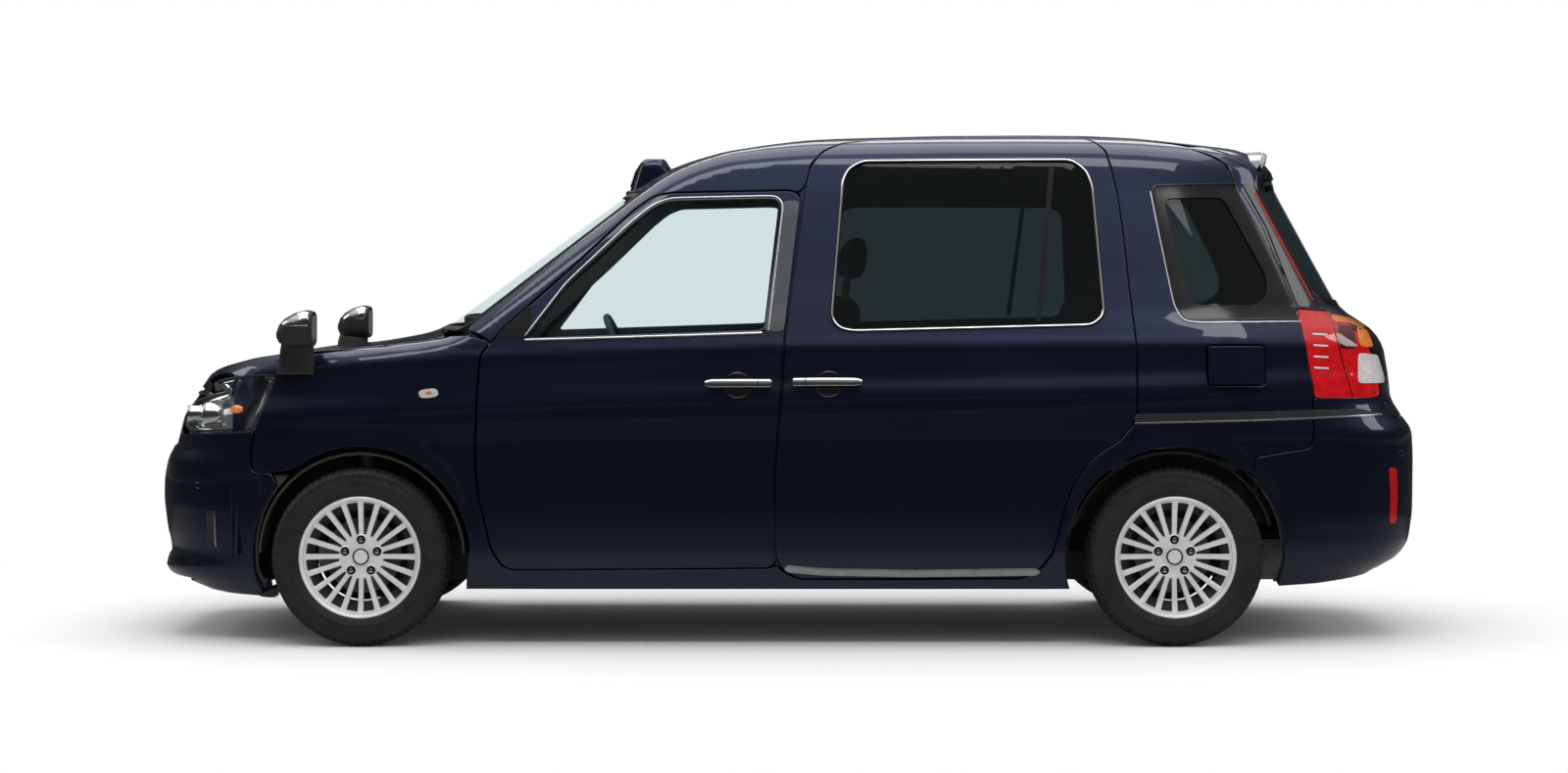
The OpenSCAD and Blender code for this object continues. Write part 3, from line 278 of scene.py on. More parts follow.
def lamp(name, place, aim, size, watts):
    light = bpy.data.lights.new(name, "AREA")
    light.shape = "RECTANGLE"
    light.size, light.size_y, light.energy = size[0], size[1], watts
    obj = bpy.data.objects.new(name, light)
    obj.location = place
    obj.rotation_euler = (Vector(aim) - Vector(place)).to_track_quat("-Z", "Y").to_euler()
    scene.collection.objects.link(obj)


floor()
room()
lamp("top_box", (0, 0, 5.2), (0, 0, 0), (7.0, 3.4), 130)
lamp("side_box", (0, -5.0, 6.4), (0, 0, 0.9), (9.0, 1.6), 170)
lamp("far_box", (0, 5.0, 6.4), (0, 0, 0.9), (9.0, 1.6), 130)
lamp("nose_box", (-7.5, 1.0, 4.6), (0, 0, 0.6), (2.0, 3.0), 55)
lamp("tail_box", (7.5, -1.0, 4.6), (0, 0, 0.6), (2.0, 3.0), 55)

# %% [markdown]
# ## One form for the whole body
# A pressed body is a single flowing surface that is cut into panels afterwards. Here the walls
# are ovals stacked by height, squarer than an ellipse, and the top is a height map over the
# plan. A soft maximum joins the two with a rounded edge. Tables of measured stations are
# blurred along their length, so that the surface has no kinks of its own.

# %% Smooth tables
class Table:
    def __init__(self, points, blur):
        x, v = np.array(points, float).T
        head, tail = (v[1] - v[0]) / (x[1] - x[0]), (v[-1] - v[-2]) / (x[-1] - x[-2])
        self.x = np.arange(x[0] - 300, x[-1] + 300, 1.0)
        line = np.interp(self.x, x, v)
        line = np.where(self.x < x[0], v[0] + head * (self.x - x[0]), line)
        line = np.where(self.x > x[-1], v[-1] + tail * (self.x - x[-1]), line)
        if blur:
            k = np.exp(-0.5 * (np.arange(-4 * blur, 4 * blur + 1) / blur) ** 2)
            pad = 4 * blur
            line = np.convolve(np.pad(line, pad, "reflect", reflect_type="odd"), k / k.sum(), "valid")
        self.v = line

    def __call__(self, x):
        return np.interp(x, self.x, self.v)


nose = Table([(140, -1887), (154, -2044), (189, -2092), (213, -2172), (240, -2190), (302, -2166),
              (378, -2180), (471, -2191), (547, -2190), (619, -2176), (653, -2155), (772, -2124),
              (867, -2054), (911, -2040)], 12)
tail = Table([(140, 1950), (189, 2010), (240, 2080), (268, 2140), (326, 2182), (426, 2196),
              (626, 2198), (719, 2193), (760, 2160), (825, 2118), (911, 2111), (1001, 2097),
              (1063, 2061), (1112, 1985), (1133, 1950), (1550, 1730), (1629, 1715), (1690, 1680),
              (1760, 1600)], 12)
width = Table([(140, 770), (189, 790), (302, 825), (471, 841), (690, 846), (867, 841), (911, 832),
               (1030, 812), (1063, 802), (1250, 742), (1545, 655), (1650, 622), (1690, 600), (1715, 575),
               (1735, 545), (1750, 480), (1765, 380)], 15)
ridge = Table([(-2400, 720), (-2200, 800), (-2112, 855), (-2006, 919), (-1709, 982), (-1426, 1020),
               (-1284, 1046), (-1211, 1073), (-589, 1528), (-480, 1600), (-430, 1625), (-354, 1655),
               (-230, 1690), (-80, 1713), (67, 1731), (200, 1738), (530, 1747), (830, 1749),
               (1050, 1747), (1213, 1739), (1426, 1716), (1568, 1700), (1601, 1690), (1700, 1660),
               (2400, 1660)], 22)
sweep = Table([(-1400, 0), (-1200, 150), (-400, 120), (0, 0), (2400, 0)], 60)
crown = Table([(-2400, 30), (-1300, 18), (-1100, 10), (-400, 20), (200, 38), (2400, 38)], 80)
edge_soft = Table([(-2300, 60), (-1700, 60), (-1300, 44), (-1100, 40), (-500, 60), (0, 70), (2300, 70)], 60)
NOSE_POWER, TAIL_POWER = 4.5, 4.8

# %% [markdown]
# The pressed lines along the side are a thin relief on that form: a shoulder under the windows,
# a hollow below it that carries the door handles, and a lip round each wheel arch.

# %% Relief of the sides
shoulder = Table([(-2200, 900), (-1700, 948), (-1030, 992), (-20, 1024), (1000, 1032), (2200, 1036)], 60)
waist = Table([(-2200, 800), (-1030, 842), (-20, 868), (700, 886), (1500, 912), (2200, 925)], 60)


def bell(t):
    return np.exp(-0.5 * t * t)


def relief(x, z):
    s, h = shoulder(x), waist(x)
    r = 3.2 * bell((z - s + 12) / 16) - 3.0 * bell((z - h - 30) / 26) + 2.2 * bell((z - h + 34) / 24)
    for axle in (front_axle, rear_axle):
        reach = np.hypot(x - axle, z - tyre_r)
        r = r + 5.0 * bell((reach - arch_r - 8) / 22) * (z > 150)
    return r


def form(x, y, z):
    """How far a point lies outside the body, in mm; less than zero inside."""
    xf, xr, w = nose(z), tail(z), width(z)
    xm = (xf + xr) / 2
    ahead = x < xm
    a = np.where(ahead, xm - xf, xr - xm)
    n = np.where(ahead, NOSE_POWER, TAIL_POWER)
    u, v = np.maximum(np.abs(x - xm) / a, 1e-6), np.maximum(np.abs(y) / w, 1e-6)
    r = (u ** n + v ** n) ** (1 / n)
    gx, gy = u ** (n - 1) / a, v ** (n - 1) / w
    steep = np.hypot(gx, gy)
    wall = (r - 1) / np.maximum(r ** (1 - n) * steep, 1e-9) - relief(x, z) * gy / np.maximum(steep, 1e-12)
    v2 = (y / half_width) ** 2
    q = x - sweep(x) * v2
    slope = (ridge(q + 2) - ridge(q - 2)) / 4
    top = (z - ridge(q) + crown(x) * v2) / np.sqrt(1 + slope * slope)
    k = edge_soft(x)
    h = np.maximum(k - np.abs(wall - top), 0) / k
    return np.maximum(wall, top) + h * h * k / 4


def slope_of(p):
    e = 1.5
    g = np.stack([form(*(p + d).T) - form(*(p - d).T) for d in np.eye(3) * e], 1)
    return g / np.maximum(np.linalg.norm(g, axis=1, keepdims=True), 1e-9)


def cast(start, way, reach):
    """Where rays leave the form, by halving, and the outward normal there."""
    lo, hi = np.zeros(len(start)), np.full(len(start), float(reach))
    for _ in range(20):
        mid = (lo + hi) / 2
        inside = form(*(start + way * mid[:, None]).T) < 0
        lo, hi = np.where(inside, mid, lo), np.where(inside, hi, mid)
    p = start + way * hi[:, None]
    return p, slope_of(p)

# %% [markdown]
# A panel is drawn flat, as a dressmaker draws a pattern, and then cast onto the form. Screens,
# hood and tailgate are drawn from the front, above or behind. Everything else is drawn on one
# unrolled shell: straight from the side between two posts, turning round the posts at the ends,
# and bending over the roof above the window line.

# %% Views that patterns are drawn in
POST, TURN, BROW, BEND = 1500.0, 800.0, 1400.0, 700.0


def rays(q, start, way, reach):
    n, z = len(q), np.zeros(len(q))
    pick = {"u": q[:, 0], "v": q[:, 1]}
    return cast(np.stack([pick[s] if s in pick else z + s for s in start], 1), np.array([way]), reach)


def view_side(q): return rays(q, ("u", 0.0, "v"), (0.0, -1.0, 0.0), 900)
def view_top(q): return rays(q, ("u", "v", 300.0), (0.0, 0.0, 1.0), 1600)
def view_front(q): return rays(q, (-300.0, "u", "v"), (-1.0, 0.0, 0.0), 2000)
def view_back(q): return rays(q, (900.0, "u", "v"), (1.0, 0.0, 0.0), 1400)


def view_shell(q):
    u, v = q.T
    post = np.clip(u, -POST, POST)
    turn, rise = (u - post) / TURN, np.maximum(v - BROW, 0) / BEND
    start = np.stack([post, 0 * u, np.minimum(v, BROW)], 1)
    way = np.stack([np.sin(turn) * np.cos(rise), -np.cos(turn) * np.cos(rise), np.sin(rise)], 1)
    return cast(start, way, 1500)


def unrolled(p):
    """Points of the skin as points of the shell pattern."""
    x, y, z = p.T
    post = np.clip(x, -POST, POST)
    rise = np.arctan2(np.maximum(z - BROW, 0), np.hypot(x - post, y))
    return np.stack([post + TURN * np.arctan2(x - post, -y), np.minimum(z, BROW) + BEND * rise], 1)


def side(points): return unrolled(view_side(np.array(points, float))[0])
def above(points): return unrolled(view_top(np.array(points, float))[0])
def ahead_of(points): return unrolled(view_front(np.array(points, float))[0])
def behind(points): return unrolled(view_back(np.array(points, float))[0])


def mirrored(half, end):
    """The left half of a pattern that crosses the centreline at an end, made whole."""
    half = np.array(half, float)
    middle = end * (POST + TURN * math.pi / 2)
    return np.vstack([half, (half * [-1, 1] + [2 * middle, 0])[::-1]])


print("skin half width at the doors:", round(float(-view_side(np.array([[0.0, 690.0]]))[0][0, 1]), 1), "mm")

# %% [markdown]
# ## From a pattern to a pressed panel
# A pressed panel has a face, a small rolled edge and a return flange. The pattern's outline is
# blurred a little for its corners, set in by half a shut gap, and stepped over the edge in
# three rows; the face inside is filled with a fine even grid. The same grid, sunk by the
# panel's depth, closes the back. Normals come from the form itself, so reflections run
# smoothly from one panel into the next.

# %% Outlines
def even(points, spacing=9.0, blur=9.0, closed=True):
    """A polyline as evenly spaced points, its corners rounded."""
    p = np.array(points, float)
    if closed:
        p = np.vstack([p, p[:1]])
    run = np.concatenate([[0], np.cumsum(np.hypot(*np.diff(p, axis=0).T))])
    fine = max(int(run[-1] / 2.0), 8)
    s = np.linspace(0, run[-1], fine + 1)
    q = np.stack([np.interp(s, run, p[:, i]) for i in (0, 1)], 1)
    if blur:
        b = max(int(blur / 2.0), 1)
        k = bell(np.arange(-4 * b, 4 * b + 1) / b)
        k /= k.sum()
        if closed:
            q = q[:-1]
            turns = np.vstack([q[-4 * b:], q, q[:4 * b]]) if 4 * b < len(q) else None
            q = np.stack([np.convolve(turns[:, i], k, "valid") for i in (0, 1)], 1)
            q = np.vstack([q, q[:1]])
        else:
            q = np.stack([np.convolve(np.pad(q[:, i], 4 * b, "reflect", reflect_type="odd"), k, "valid")
                          for i in (0, 1)], 1)
        run = np.concatenate([[0], np.cumsum(np.hypot(*np.diff(q, axis=0).T))])
        s = run
    count = max(int(round(run[-1] / spacing)), 6)
    t = np.linspace(0, run[-1], count + 1)
    q = np.stack([np.interp(t, run, q[:, i]) for i in (0, 1)], 1)
    return q[:-1] if closed else q


def area(q):
    x, y = q.T
    return 0.5 * np.sum(x * np.roll(y, -1) - np.roll(x, -1) * y)


def sideways(q, closed=True):
    """Unit normals of an outline, to the right of its course."""
    if closed:
        t = np.roll(q, -1, 0) - np.roll(q, 1, 0)
    else:
        t = np.gradient(q, axis=0)
    t /= np.maximum(np.linalg.norm(t, axis=1, keepdims=True), 1e-9)
    return np.stack([t[:, 1], -t[:, 0]], 1)


def outset(q, d):
    """A closed outline grown by d, whichever way round it runs."""
    return q + sideways(q) * d * (1 if area(q) > 0 else -1)


def within(points, loop):
    x, y = points.T
    inside = np.zeros(len(points), bool)
    a, b = loop, np.roll(loop, -1, 0)
    for (x0, y0), (x1, y1) in zip(a, b):
        cross = (y0 > y) != (y1 > y)
        if cross.any():
            inside ^= cross & (x < (x1 - x0) * (y - y0) / (y1 - y0 + 1e-12) + x0)
    return inside


def arc_points(axle, r, a0, a1, n=40):
    t = np.radians(np.linspace(a0, a1, n))
    return [(axle + r * math.cos(v), tyre_r + r * math.sin(v)) for v in t]

# %% Panels
def build(name, points, normals, faces, finish, body="body", marks=None, side="left"):
    """A mesh object from mm data, on the left, on the right as its mirror image, or on both sides."""
    points, normals = np.asarray(points, float), (None if normals is None else np.asarray(normals, float))
    made = []
    for flip in {"left": (False,), "right": (True,), "both": (False, True)}[side]:
        p, nrm, fs = points.copy(), normals, faces
        if flip:
            p = p * [1, -1, 1]
            nrm = None if nrm is None else nrm * [1, -1, 1]
            fs = [f[::-1] for f in faces]
        label = name if side != "both" else name + ("_right" if flip else "_left")
        mesh = bpy.data.meshes.new(label)
        mesh.from_pydata((p * MM).tolist(), [], fs)
        for f in (finish if isinstance(finish, (list, tuple)) else [finish]):
            mesh.materials.append(f)
        if marks is not None:
            mesh.polygons.foreach_set("material_index", np.asarray(marks, np.int32))
        mesh.polygons.foreach_set("use_smooth", np.ones(len(mesh.polygons), bool))
        mesh.update()
        if nrm is not None:
            mesh.normals_split_custom_set_from_vertices(nrm.tolist())
        obj = bpy.data.objects.new(label, mesh)
        scene.collection.objects.link(obj)
        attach(obj, body.replace("_left", "_right") if flip else body)
        made.append(obj)
    return made if side == "both" else made[0]


def panel(name, line, view, finish, body="body", holes=(), gap=2.5, roll=3.0, depth=14.0, sink=0.0,
          step=20.0, blur=9.0, back=None, slot="navy_paint", side="left", spacing=9.0, crown=0.0):
    """A closed panel cut from the form along a pattern. Holes are outlines of openings."""
    loops = [even(line, spacing, blur)] + [even(h, spacing, blur) for h in holes]
    loops = [l if area(l) > 0 else l[::-1] for l in loops]
    rims = [outset(l, -gap) if i == 0 else outset(l, gap) for i, l in enumerate(loops)]
    flat = [outset(l, -roll) if i == 0 else outset(l, roll) for i, l in enumerate(rims)]
    lo, hi = flat[0].min(0), flat[0].max(0)
    grid = np.stack(np.meshgrid(np.arange(lo[0] + step / 2, hi[0], step),
                                np.arange(lo[1] + step / 2, hi[1], step)), -1).reshape(-1, 2)
    keep = within(grid, flat[0])
    for h in flat[1:]:
        keep &= ~within(grid, h)
    grid = grid[keep]
    rim_points = np.vstack(flat)
    near = np.array([np.min(np.hypot(*(rim_points - g).T)) for g in grid]) if len(grid) else np.zeros(0)
    grid = grid[near > 0.55 * min(step, spacing * 1.4)] if len(grid) else grid
    flat_all = np.vstack([rim_points, grid])
    edges, base = [], 0
    for l in flat:
        edges += [(base + i, base + (i + 1) % len(l)) for i in range(len(l))]
        base += len(l)
    _, _, tris, *_ = delaunay_2d_cdt([Vector(p) for p in flat_all], edges, [], 0, 1e-4, False)
    tris = np.array([t for t in tris if max(t) < len(flat_all)])
    mid = flat_all[tris].mean(1)
    good = within(mid, flat[0])
    for h in flat[1:]:
        good &= ~within(mid, h)
    tris = tris[good]
    a, b, c = (flat_all[tris[:, i]] for i in range(3))
    turn = (b - a)[:, 0] * (c - a)[:, 1] - (b - a)[:, 1] * (c - a)[:, 0]
    tris = tris[np.abs(turn) > 1e-6]
    face, face_n = view(flat_all)
    p0, p1, p2 = (face[tris[:, i]] for i in range(3))
    outward = np.sum(np.cross(p1 - p0, p2 - p0) * face_n[tris[:, 0]]) > 0
    rows, row_n = [], []
    deep = max(depth, roll + 1)
    for share, down, lean in ((0.29, 0.29, 0.7), (0.0, 1.0, 0.0), (0.0, deep / roll, 0.0)):
        pts, nor = [], []
        for i, (r, f) in enumerate(zip(rims, flat)):
            mixq = r + (f - r) * share
            p, n = view(mixq)
            pf, _ = view(f)
            out = p - pf
            out -= n * np.sum(out * n, 1, keepdims=True)
            out /= np.maximum(np.linalg.norm(out, axis=1, keepdims=True), 1e-9)
            pts.append(p - n * (down * roll))
            nor.append(n * lean + out * (1 - lean * lean) ** 0.5)
        rows.append(np.vstack(pts))
        row_n.append(np.vstack(nor))
    if crown:
        lift = np.concatenate([np.zeros(len(rim_points)),
                               np.minimum(near[near > 0.55 * min(step, spacing * 1.4)] / 40, 1.0)])
        face = face + face_n * (crown * lift)[:, None]
    shift = -face_n * sink
    m, k = len(flat_all), len(rim_points)
    row_sink = np.vstack([view(r)[1] for r in rims]) * sink
    pts = np.vstack([face + shift] + [r - row_sink for r in rows] + [face + shift - face_n * deep])
    nrm = np.vstack([face_n] + row_n + [-face_n])
    start = [0, m, m + k, m + 2 * k, m + 3 * k]
    order = tris if outward else tris[:, ::-1]
    faces = order.tolist()
    ring = []
    base = 0
    for l in flat:
        n = len(l)
        ring += [(base + i, base + (i + 1) % n) for i in range(n)]
        base += n
    sense = {}
    for t in order:
        for u, v in ((t[0], t[1]), (t[1], t[2]), (t[2], t[0])):
            sense[(u, v)] = True
    marks = [0] * len(faces)
    for i, j in ring:
        if (i, j) not in sense and (j, i) in sense:
            i, j = j, i
        for u, v in zip(start[:-1], start[1:]):
            faces.append([u + j, u + i, v + i, v + j])
            marks.append(0)
    faces += (order[:, ::-1] + start[-1]).tolist()
    marks += [1 if back else 0] * len(order)
    return build(name, pts, nrm, faces, [finish, back] if back else finish, body, marks, side)


def strip(name, path, profile, view, finish, body="body", closed=False,
          side="left", spacing=9.0, blur=6.0, taper=0.0):
    """A moulding: a closed cross-section, as pairs of across and lift, drawn along a path."""
    q = even(path, spacing, blur, closed)
    across_way = sideways(q, closed) * (1 if not closed or area(q) > 0 else -1)
    pts, m = [], len(profile)
    run = np.concatenate([[0], np.cumsum(np.hypot(*np.diff(q, axis=0).T))])
    slim = np.ones(len(q)) if closed or not taper else np.clip(
        np.minimum(run, run[-1] - run) / taper, 0.12, 1.0) ** 0.5
    for across, lift in profile:
        p, n = view(q + across_way * (across * slim)[:, None])
        pts.append(p + n * (lift * slim if lift > 0 else lift + 0 * slim)[:, None])
    pts = np.stack(pts, 1).reshape(-1, 3)
    count = len(q)
    faces = []
    for i in range(count if closed else count - 1):
        j = (i + 1) % count
        for a in range(m):
            b = (a + 1) % m
            faces.append([i * m + a, i * m + b, j * m + b, j * m + a])
    if not closed:
        faces += [list(range(m))[::-1], [(count - 1) * m + a for a in range(m)]]
    p = pts[np.array(faces[0])]
    centre = pts[:m].mean(0)
    if np.dot(np.cross(p[1] - p[0], p[2] - p[0]), p.mean(0) - centre) < 0:
        faces = [f[::-1] for f in faces]
    made = build(name, pts, None, faces, finish, body, None, side)
    for obj in made if side == "both" else [made]:
        smooth_by_angle(obj)
    return made


def smooth_by_angle(obj, degrees=40):
    """Marks the edges sharper than an angle, so that flat and round faces both shade true."""
    bm = bmesh.new()
    bm.from_mesh(obj.data)
    limit = math.radians(degrees)
    for e in bm.edges:
        e.smooth = len(e.link_faces) == 2 and e.calc_face_angle(math.pi) < limit
    bm.to_mesh(obj.data)
    bm.free()


def dense(points, to, closed=True, blur=9.0):
    """A drawn outline, corners rounded, carried over to the shell pattern."""
    return to(even(points, 9.0, blur, closed))


def rect(a0, a1, l0, l1, r=1.5):
    """A cross-section with rounded top corners, from across a0 to a1 and lift l0 to l1."""
    return [(a0, l0), (a0, l1 - r), (a0 + r * 0.3, l1 - r * 0.3), (a0 + r, l1), (a1 - r, l1),
            (a1 - r * 0.3, l1 - r * 0.3), (a1, l1 - r), (a1, l0)]

# %% [markdown]
# ## Doors, fenders and sides
# These outlines are the shut lines of the car, as X and Z. Each line is shared by the panels
# on its two sides, so that the gap between them is even.

# %% Shut lines
door_top = [(-20, 870), (-9, 1029), (-7, 1045), (49, 1500), (41, 1532), (12, 1543)]
screen_side = [(-396, 1535), (-456, 1524), (-523, 1476), (-730, 1279), (-955, 1077), (-999, 1025)]
door_front = [(-1035, 984), (-1045, 837), (-1050, 682), (-1048, 587), (-1038, 500), (-1025, 453),
              (-998, 332), (-964, 274), (-930, 257)]
front_door = door_front + [(-56, 264), (-40, 278), (-40, 587), (-33, 722)] + door_top + screen_side
front_window = [(-880, 1040), (-89, 1066), (-77, 1070), (-26, 1505), (-48, 1512), (-400, 1504),
                (-450, 1484), (-520, 1428), (-740, 1222)]
rear_low = [(-13, 254), (42, 226), (791, 229), (854, 260), (895, 317), (917, 399), (936, 482),
            (965, 552), (1006, 614), (1060, 662), (1113, 692), (1169, 753), (1180, 785), (1180, 1006)]
rear_front = [(-7, 1045), (-16, 851), (-34, 691), (-40, 587), (-41, 504), (-36, 295)]
sliding_top = [(1161, 1199), (1147, 1380), (1130, 1531), (1108, 1635), (1095, 1683), (1058, 1716),
               (1010, 1728), (787, 1732), (547, 1728), (308, 1720), (189, 1708), (125, 1680), (84, 1635),
               (65, 1560)]
hinged_top = [(1161, 1199), (1147, 1380), (1130, 1500), (1105, 1536), (1070, 1550), (110, 1552),
              (75, 1540), (62, 1520)]
sliding_door = rear_front + rear_low + sliding_top
rear_door = rear_front + rear_low + hinged_top
sliding_window = [(155, 1107), (180, 1078), (225, 1070), (1030, 1090), (1068, 1121), (1040, 1555),
                  (1020, 1610), (974, 1645), (259, 1640), (215, 1615), (196, 1575)]
rear_window = [(155, 1107), (180, 1078), (225, 1070), (1030, 1090), (1068, 1121), (1045, 1470),
               (1030, 1500), (995, 1512), (255, 1512), (215, 1500), (198, 1465)]
quarter_window = [(1257, 1560), (1555, 1566), (1637, 1423), (1740, 1142), (1751, 1108), (1346, 1102),
                  (1319, 1152), (1275, 1409)]
tail_lamp_front = [(1791, 838), (1762, 1024), (1737, 1138)]
gate_edge = [(-575, 838), (-575, 1136), (-600, 1148), (-622, 1168), (-520, 1640), (-508, 1690)]
roof_half, roof_front, roof_rear = 470.0, -560.0, 1606.0

# %% Front fender
fender_top = [(-1745, 583), (-1813, 587), (-1823, 653), (-1806, 726), (-1740, 911), (-1880, 895),
              (-1743, 962), (-1600, 988), (-1420, 1012), (-1270, 1036), (-1120, 1052), (-1050, 1046),
              (-999, 1025)]
fender_arch = arc_points(front_axle, arch_r, -5, 128, 60)
fender = [(-1028, 257), (-1087, 257)] + fender_arch + fender_top + door_front[:-2]
panel("fender_skin", dense(fender, side), view_shell, navy, depth=26, back=black, side="both")

# %% Doors
front_hole, sliding_hole = dense(front_window, side), dense(sliding_window, side)
rear_hole, quarter_hole = dense(rear_window, side), dense(quarter_window, side)
panel("front_door_skin", dense(front_door, side), view_shell, navy, "front_door_left", [front_hole],
      depth=20, side="both")
panel("sliding_door_skin", dense(sliding_door, side), view_shell, navy, "body", [sliding_hole], depth=20)
panel("rear_door_skin", dense(rear_door, side), view_shell, navy, "rear_door_right", [rear_hole],
      depth=20, side="right")

# %% [markdown]
# The fixed side is one frame: sill, windscreen pillar, roof rail and rear quarter in a single
# pressing with the doorways cut out. It is drawn as one closed outline that runs round the
# outside and back along the doorways.

# %% Fixed sides
fuel_line = [(1419, 881), (1617, 881), (1617, 1016), (1419, 1016)]


def side_frame(top_line, name, where, more=()):
    rail = [(12, 1543), (41, 1532)]
    low = list(reversed(rear_low))
    upper = list(reversed(top_line))
    front_low = [(-36, 278), (-56, 264), (-930, 257), (-964, 274), (-998, 332)]
    inner = list(reversed(screen_side)) + rail + upper + low + front_low
    outer = [side([(-1075, 330), (-1087, 192), (943, 192)]),
             side(arc_points(rear_axle, arch_r, 196, 51, 60)),
             side([(1576, 580), (1585, 641), (1770, 669), (1784, 709), (1784, 838)] + tail_lamp_front),
             side([(1800, 1134), (1900, 1124)]), behind(gate_edge[3:]),
             above([(roof_rear, -roof_half), (1200, -roof_half), (600, -roof_half), (0, -roof_half),
                    (-300, -roof_half), (-520, -480)]),
             ahead_of([(-588, 1523), (-618, 1400), (-650, 1260), (-690, 1100)]),
             side([(-1085, 1068), (-1040, 1052)])]
    line = np.vstack([dense(inner, side, False)] + outer)
    panel(name, line, view_shell, navy, "body", [quarter_hole, *more], depth=22, blur=7, side=where)


side_frame(sliding_top, "side_frame_left", "left", [dense(fuel_line, side, blur=5)])
panel("fuel_lid_skin", dense(fuel_line, side, blur=5), view_shell, navy, "fuel_lid", depth=5, gap=3,
      spacing=6, blur=5)
side_frame(hinged_top, "side_frame_right", "right")

# %% [markdown]
# ## Roof, hood and ends
# The roof and hood are drawn from above. Each bumper is one moulding from wheel arch to wheel
# arch: its left half is drawn on the unrolled shell and mirrored across the centreline, and the
# front one has its grille and intake openings cut as holes.

# %% Roof and hood
roof_line = [(roof_front - 10, -300), (roof_front + 8, -430), (roof_front + 40, -roof_half),
             (0, -roof_half), (800, -roof_half), (roof_rear, -roof_half), (roof_rear + 4, 0),
             (roof_rear, roof_half), (0, roof_half), (roof_front + 40, roof_half), (roof_front + 8, 430),
             (roof_front - 10, 300), (roof_front - 16, 0)]
panel("roof_skin", roof_line, view_top, navy, gap=0.8, roll=2.0, depth=16, step=30)
hood_half = [(-1215, 0), (-1207, -350), (-1178, -600), (-1165, -690), (-1225, -700), (-1743, -697),
             (-1845, -716), (-1892, -742)]
nose_edge = [(-2021, 859), (-1892, 889)]


def hood_outline():
    left = [tuple(p) for p in hood_half]
    lip = view_side(np.array(nose_edge[::-1]) + [[0, 4], [0, 4]])[0][:, :2].tolist()
    front_row = np.array([[-560.0, 856.0], [-400.0, 857.0], [-200.0, 858.0], [-1.0, 858.0]])
    lead = view_front(front_row)[0][:, :2].tolist()
    half = left + lip + lead
    return half + [(x, -y) for x, y in half[::-1]]


panel("hood_skin", hood_outline(), view_top, navy, "hood", depth=20, step=26, back=black)

# %% Bumpers
mid_nose = -POST - TURN * math.pi / 2
mid_tail = -mid_nose


def end_hole(half_y, z0, z1, to, end):
    """A symmetric opening across the centreline, between two heights."""
    z = np.linspace(z0, z1, 8)
    y = np.linspace(0, -half_y, 14)
    left = [to([(v, z0) for v in y]), to([(-half_y, v) for v in z]), to([(v, z1) for v in y[::-1]])]
    return mirrored(np.vstack(left), end)


front_half = np.vstack([[[mid_nose, 214]], ahead_of([(-300, 213), (-560, 205)]),
                        side([(-2060, 152), (-2000, 148), (-1860, 150), (-1730, 152), (-1722, 200)]),
                        side(arc_points(front_axle, arch_r, 207, 140, 40)),
                        side([(-1745, 583), (-1813, 587), (-1823, 653), (-1810, 722), (-1900, 721),
                              (-2040, 714)]),
                        ahead_of([(-620, 712), (-494, 706), (-486, 848), (-300, 850)]),
                        [[mid_nose, 851]]])
panel("front_bumper_skin", mirrored(front_half, -1), view_shell, navy,
      holes=[end_hole(468, 662, 838, ahead_of, -1), end_hole(430, 288, 352, ahead_of, -1)], depth=20,
      back=black)
rear_half = np.vstack([[[mid_tail, 234]], behind([(-250, 234), (-500, 232)]),
                       side([(2000, 216), (1800, 196), (1668, 192)]),
                       side(arc_points(rear_axle, arch_r, -17, 47, 40)),
                       side([(1585, 641), (1770, 669), (1784, 709), (1784, 838), (1950, 838), (2060, 838)]),
                       behind([(-572, 838), (-560, 764), (-300, 764)]), [[mid_tail, 764]]])
panel("rear_bumper_skin", mirrored(rear_half, 1), view_shell, navy, depth=20, back=black)

# %% Tailgate
gate = [(-508, 1700), (-520, 1640), (-622, 1168), (-600, 1148), (-575, 1136), (-572, 838), (-560, 764)]
gate_line = gate + [(-y, z) for y, z in gate[::-1]]
gate_window = [(-440, 1590), (440, 1590), (465, 1560), (545, 1200), (515, 1165), (-515, 1165), (-545, 1200),
               (-465, 1560)]
panel("tailgate_skin", gate_line, view_back, navy, "tailgate", [gate_window], depth=24, step=26)

# %% [markdown]
# ## Glass
# Each pane is its own curved sheet, a few millimetres under the skin, cast from the same
# outline as the opening that it fills. The driver's windows are clear and the cabin's are dark.

# %% Panes
def pane(name, line, view, finish, body="body", sink=6.0, gap=1.0, slot="clear_glass", **more):
    return panel(name, line, view, finish, body, gap=gap, roll=1.0, depth=4.0, sink=sink, slot=slot,
                 step=40, **more)


screen_line = [(-692, 1082), (-650, 1076), (0, 1076), (650, 1076), (692, 1082), (590, 1510), (560, 1523),
               (0, 1530), (-560, 1523), (-590, 1510)]
pane("windscreen_pane", screen_line, view_front, clear, sink=2.0)
pane("front_door_pane", front_hole, view_shell, clear, "front_door_left", side="both")
pane("sliding_door_pane", sliding_hole, view_shell, tinted, slot="tinted_glass")
pane("rear_door_pane", rear_hole, view_shell, tinted, "rear_door_right", side="right", slot="tinted_glass")
pane("quarter_pane", quarter_hole, view_shell, tinted, slot="tinted_glass", side="both")
pane("tailgate_pane", gate_window, view_back, tinted, "tailgate", slot="tinted_glass")
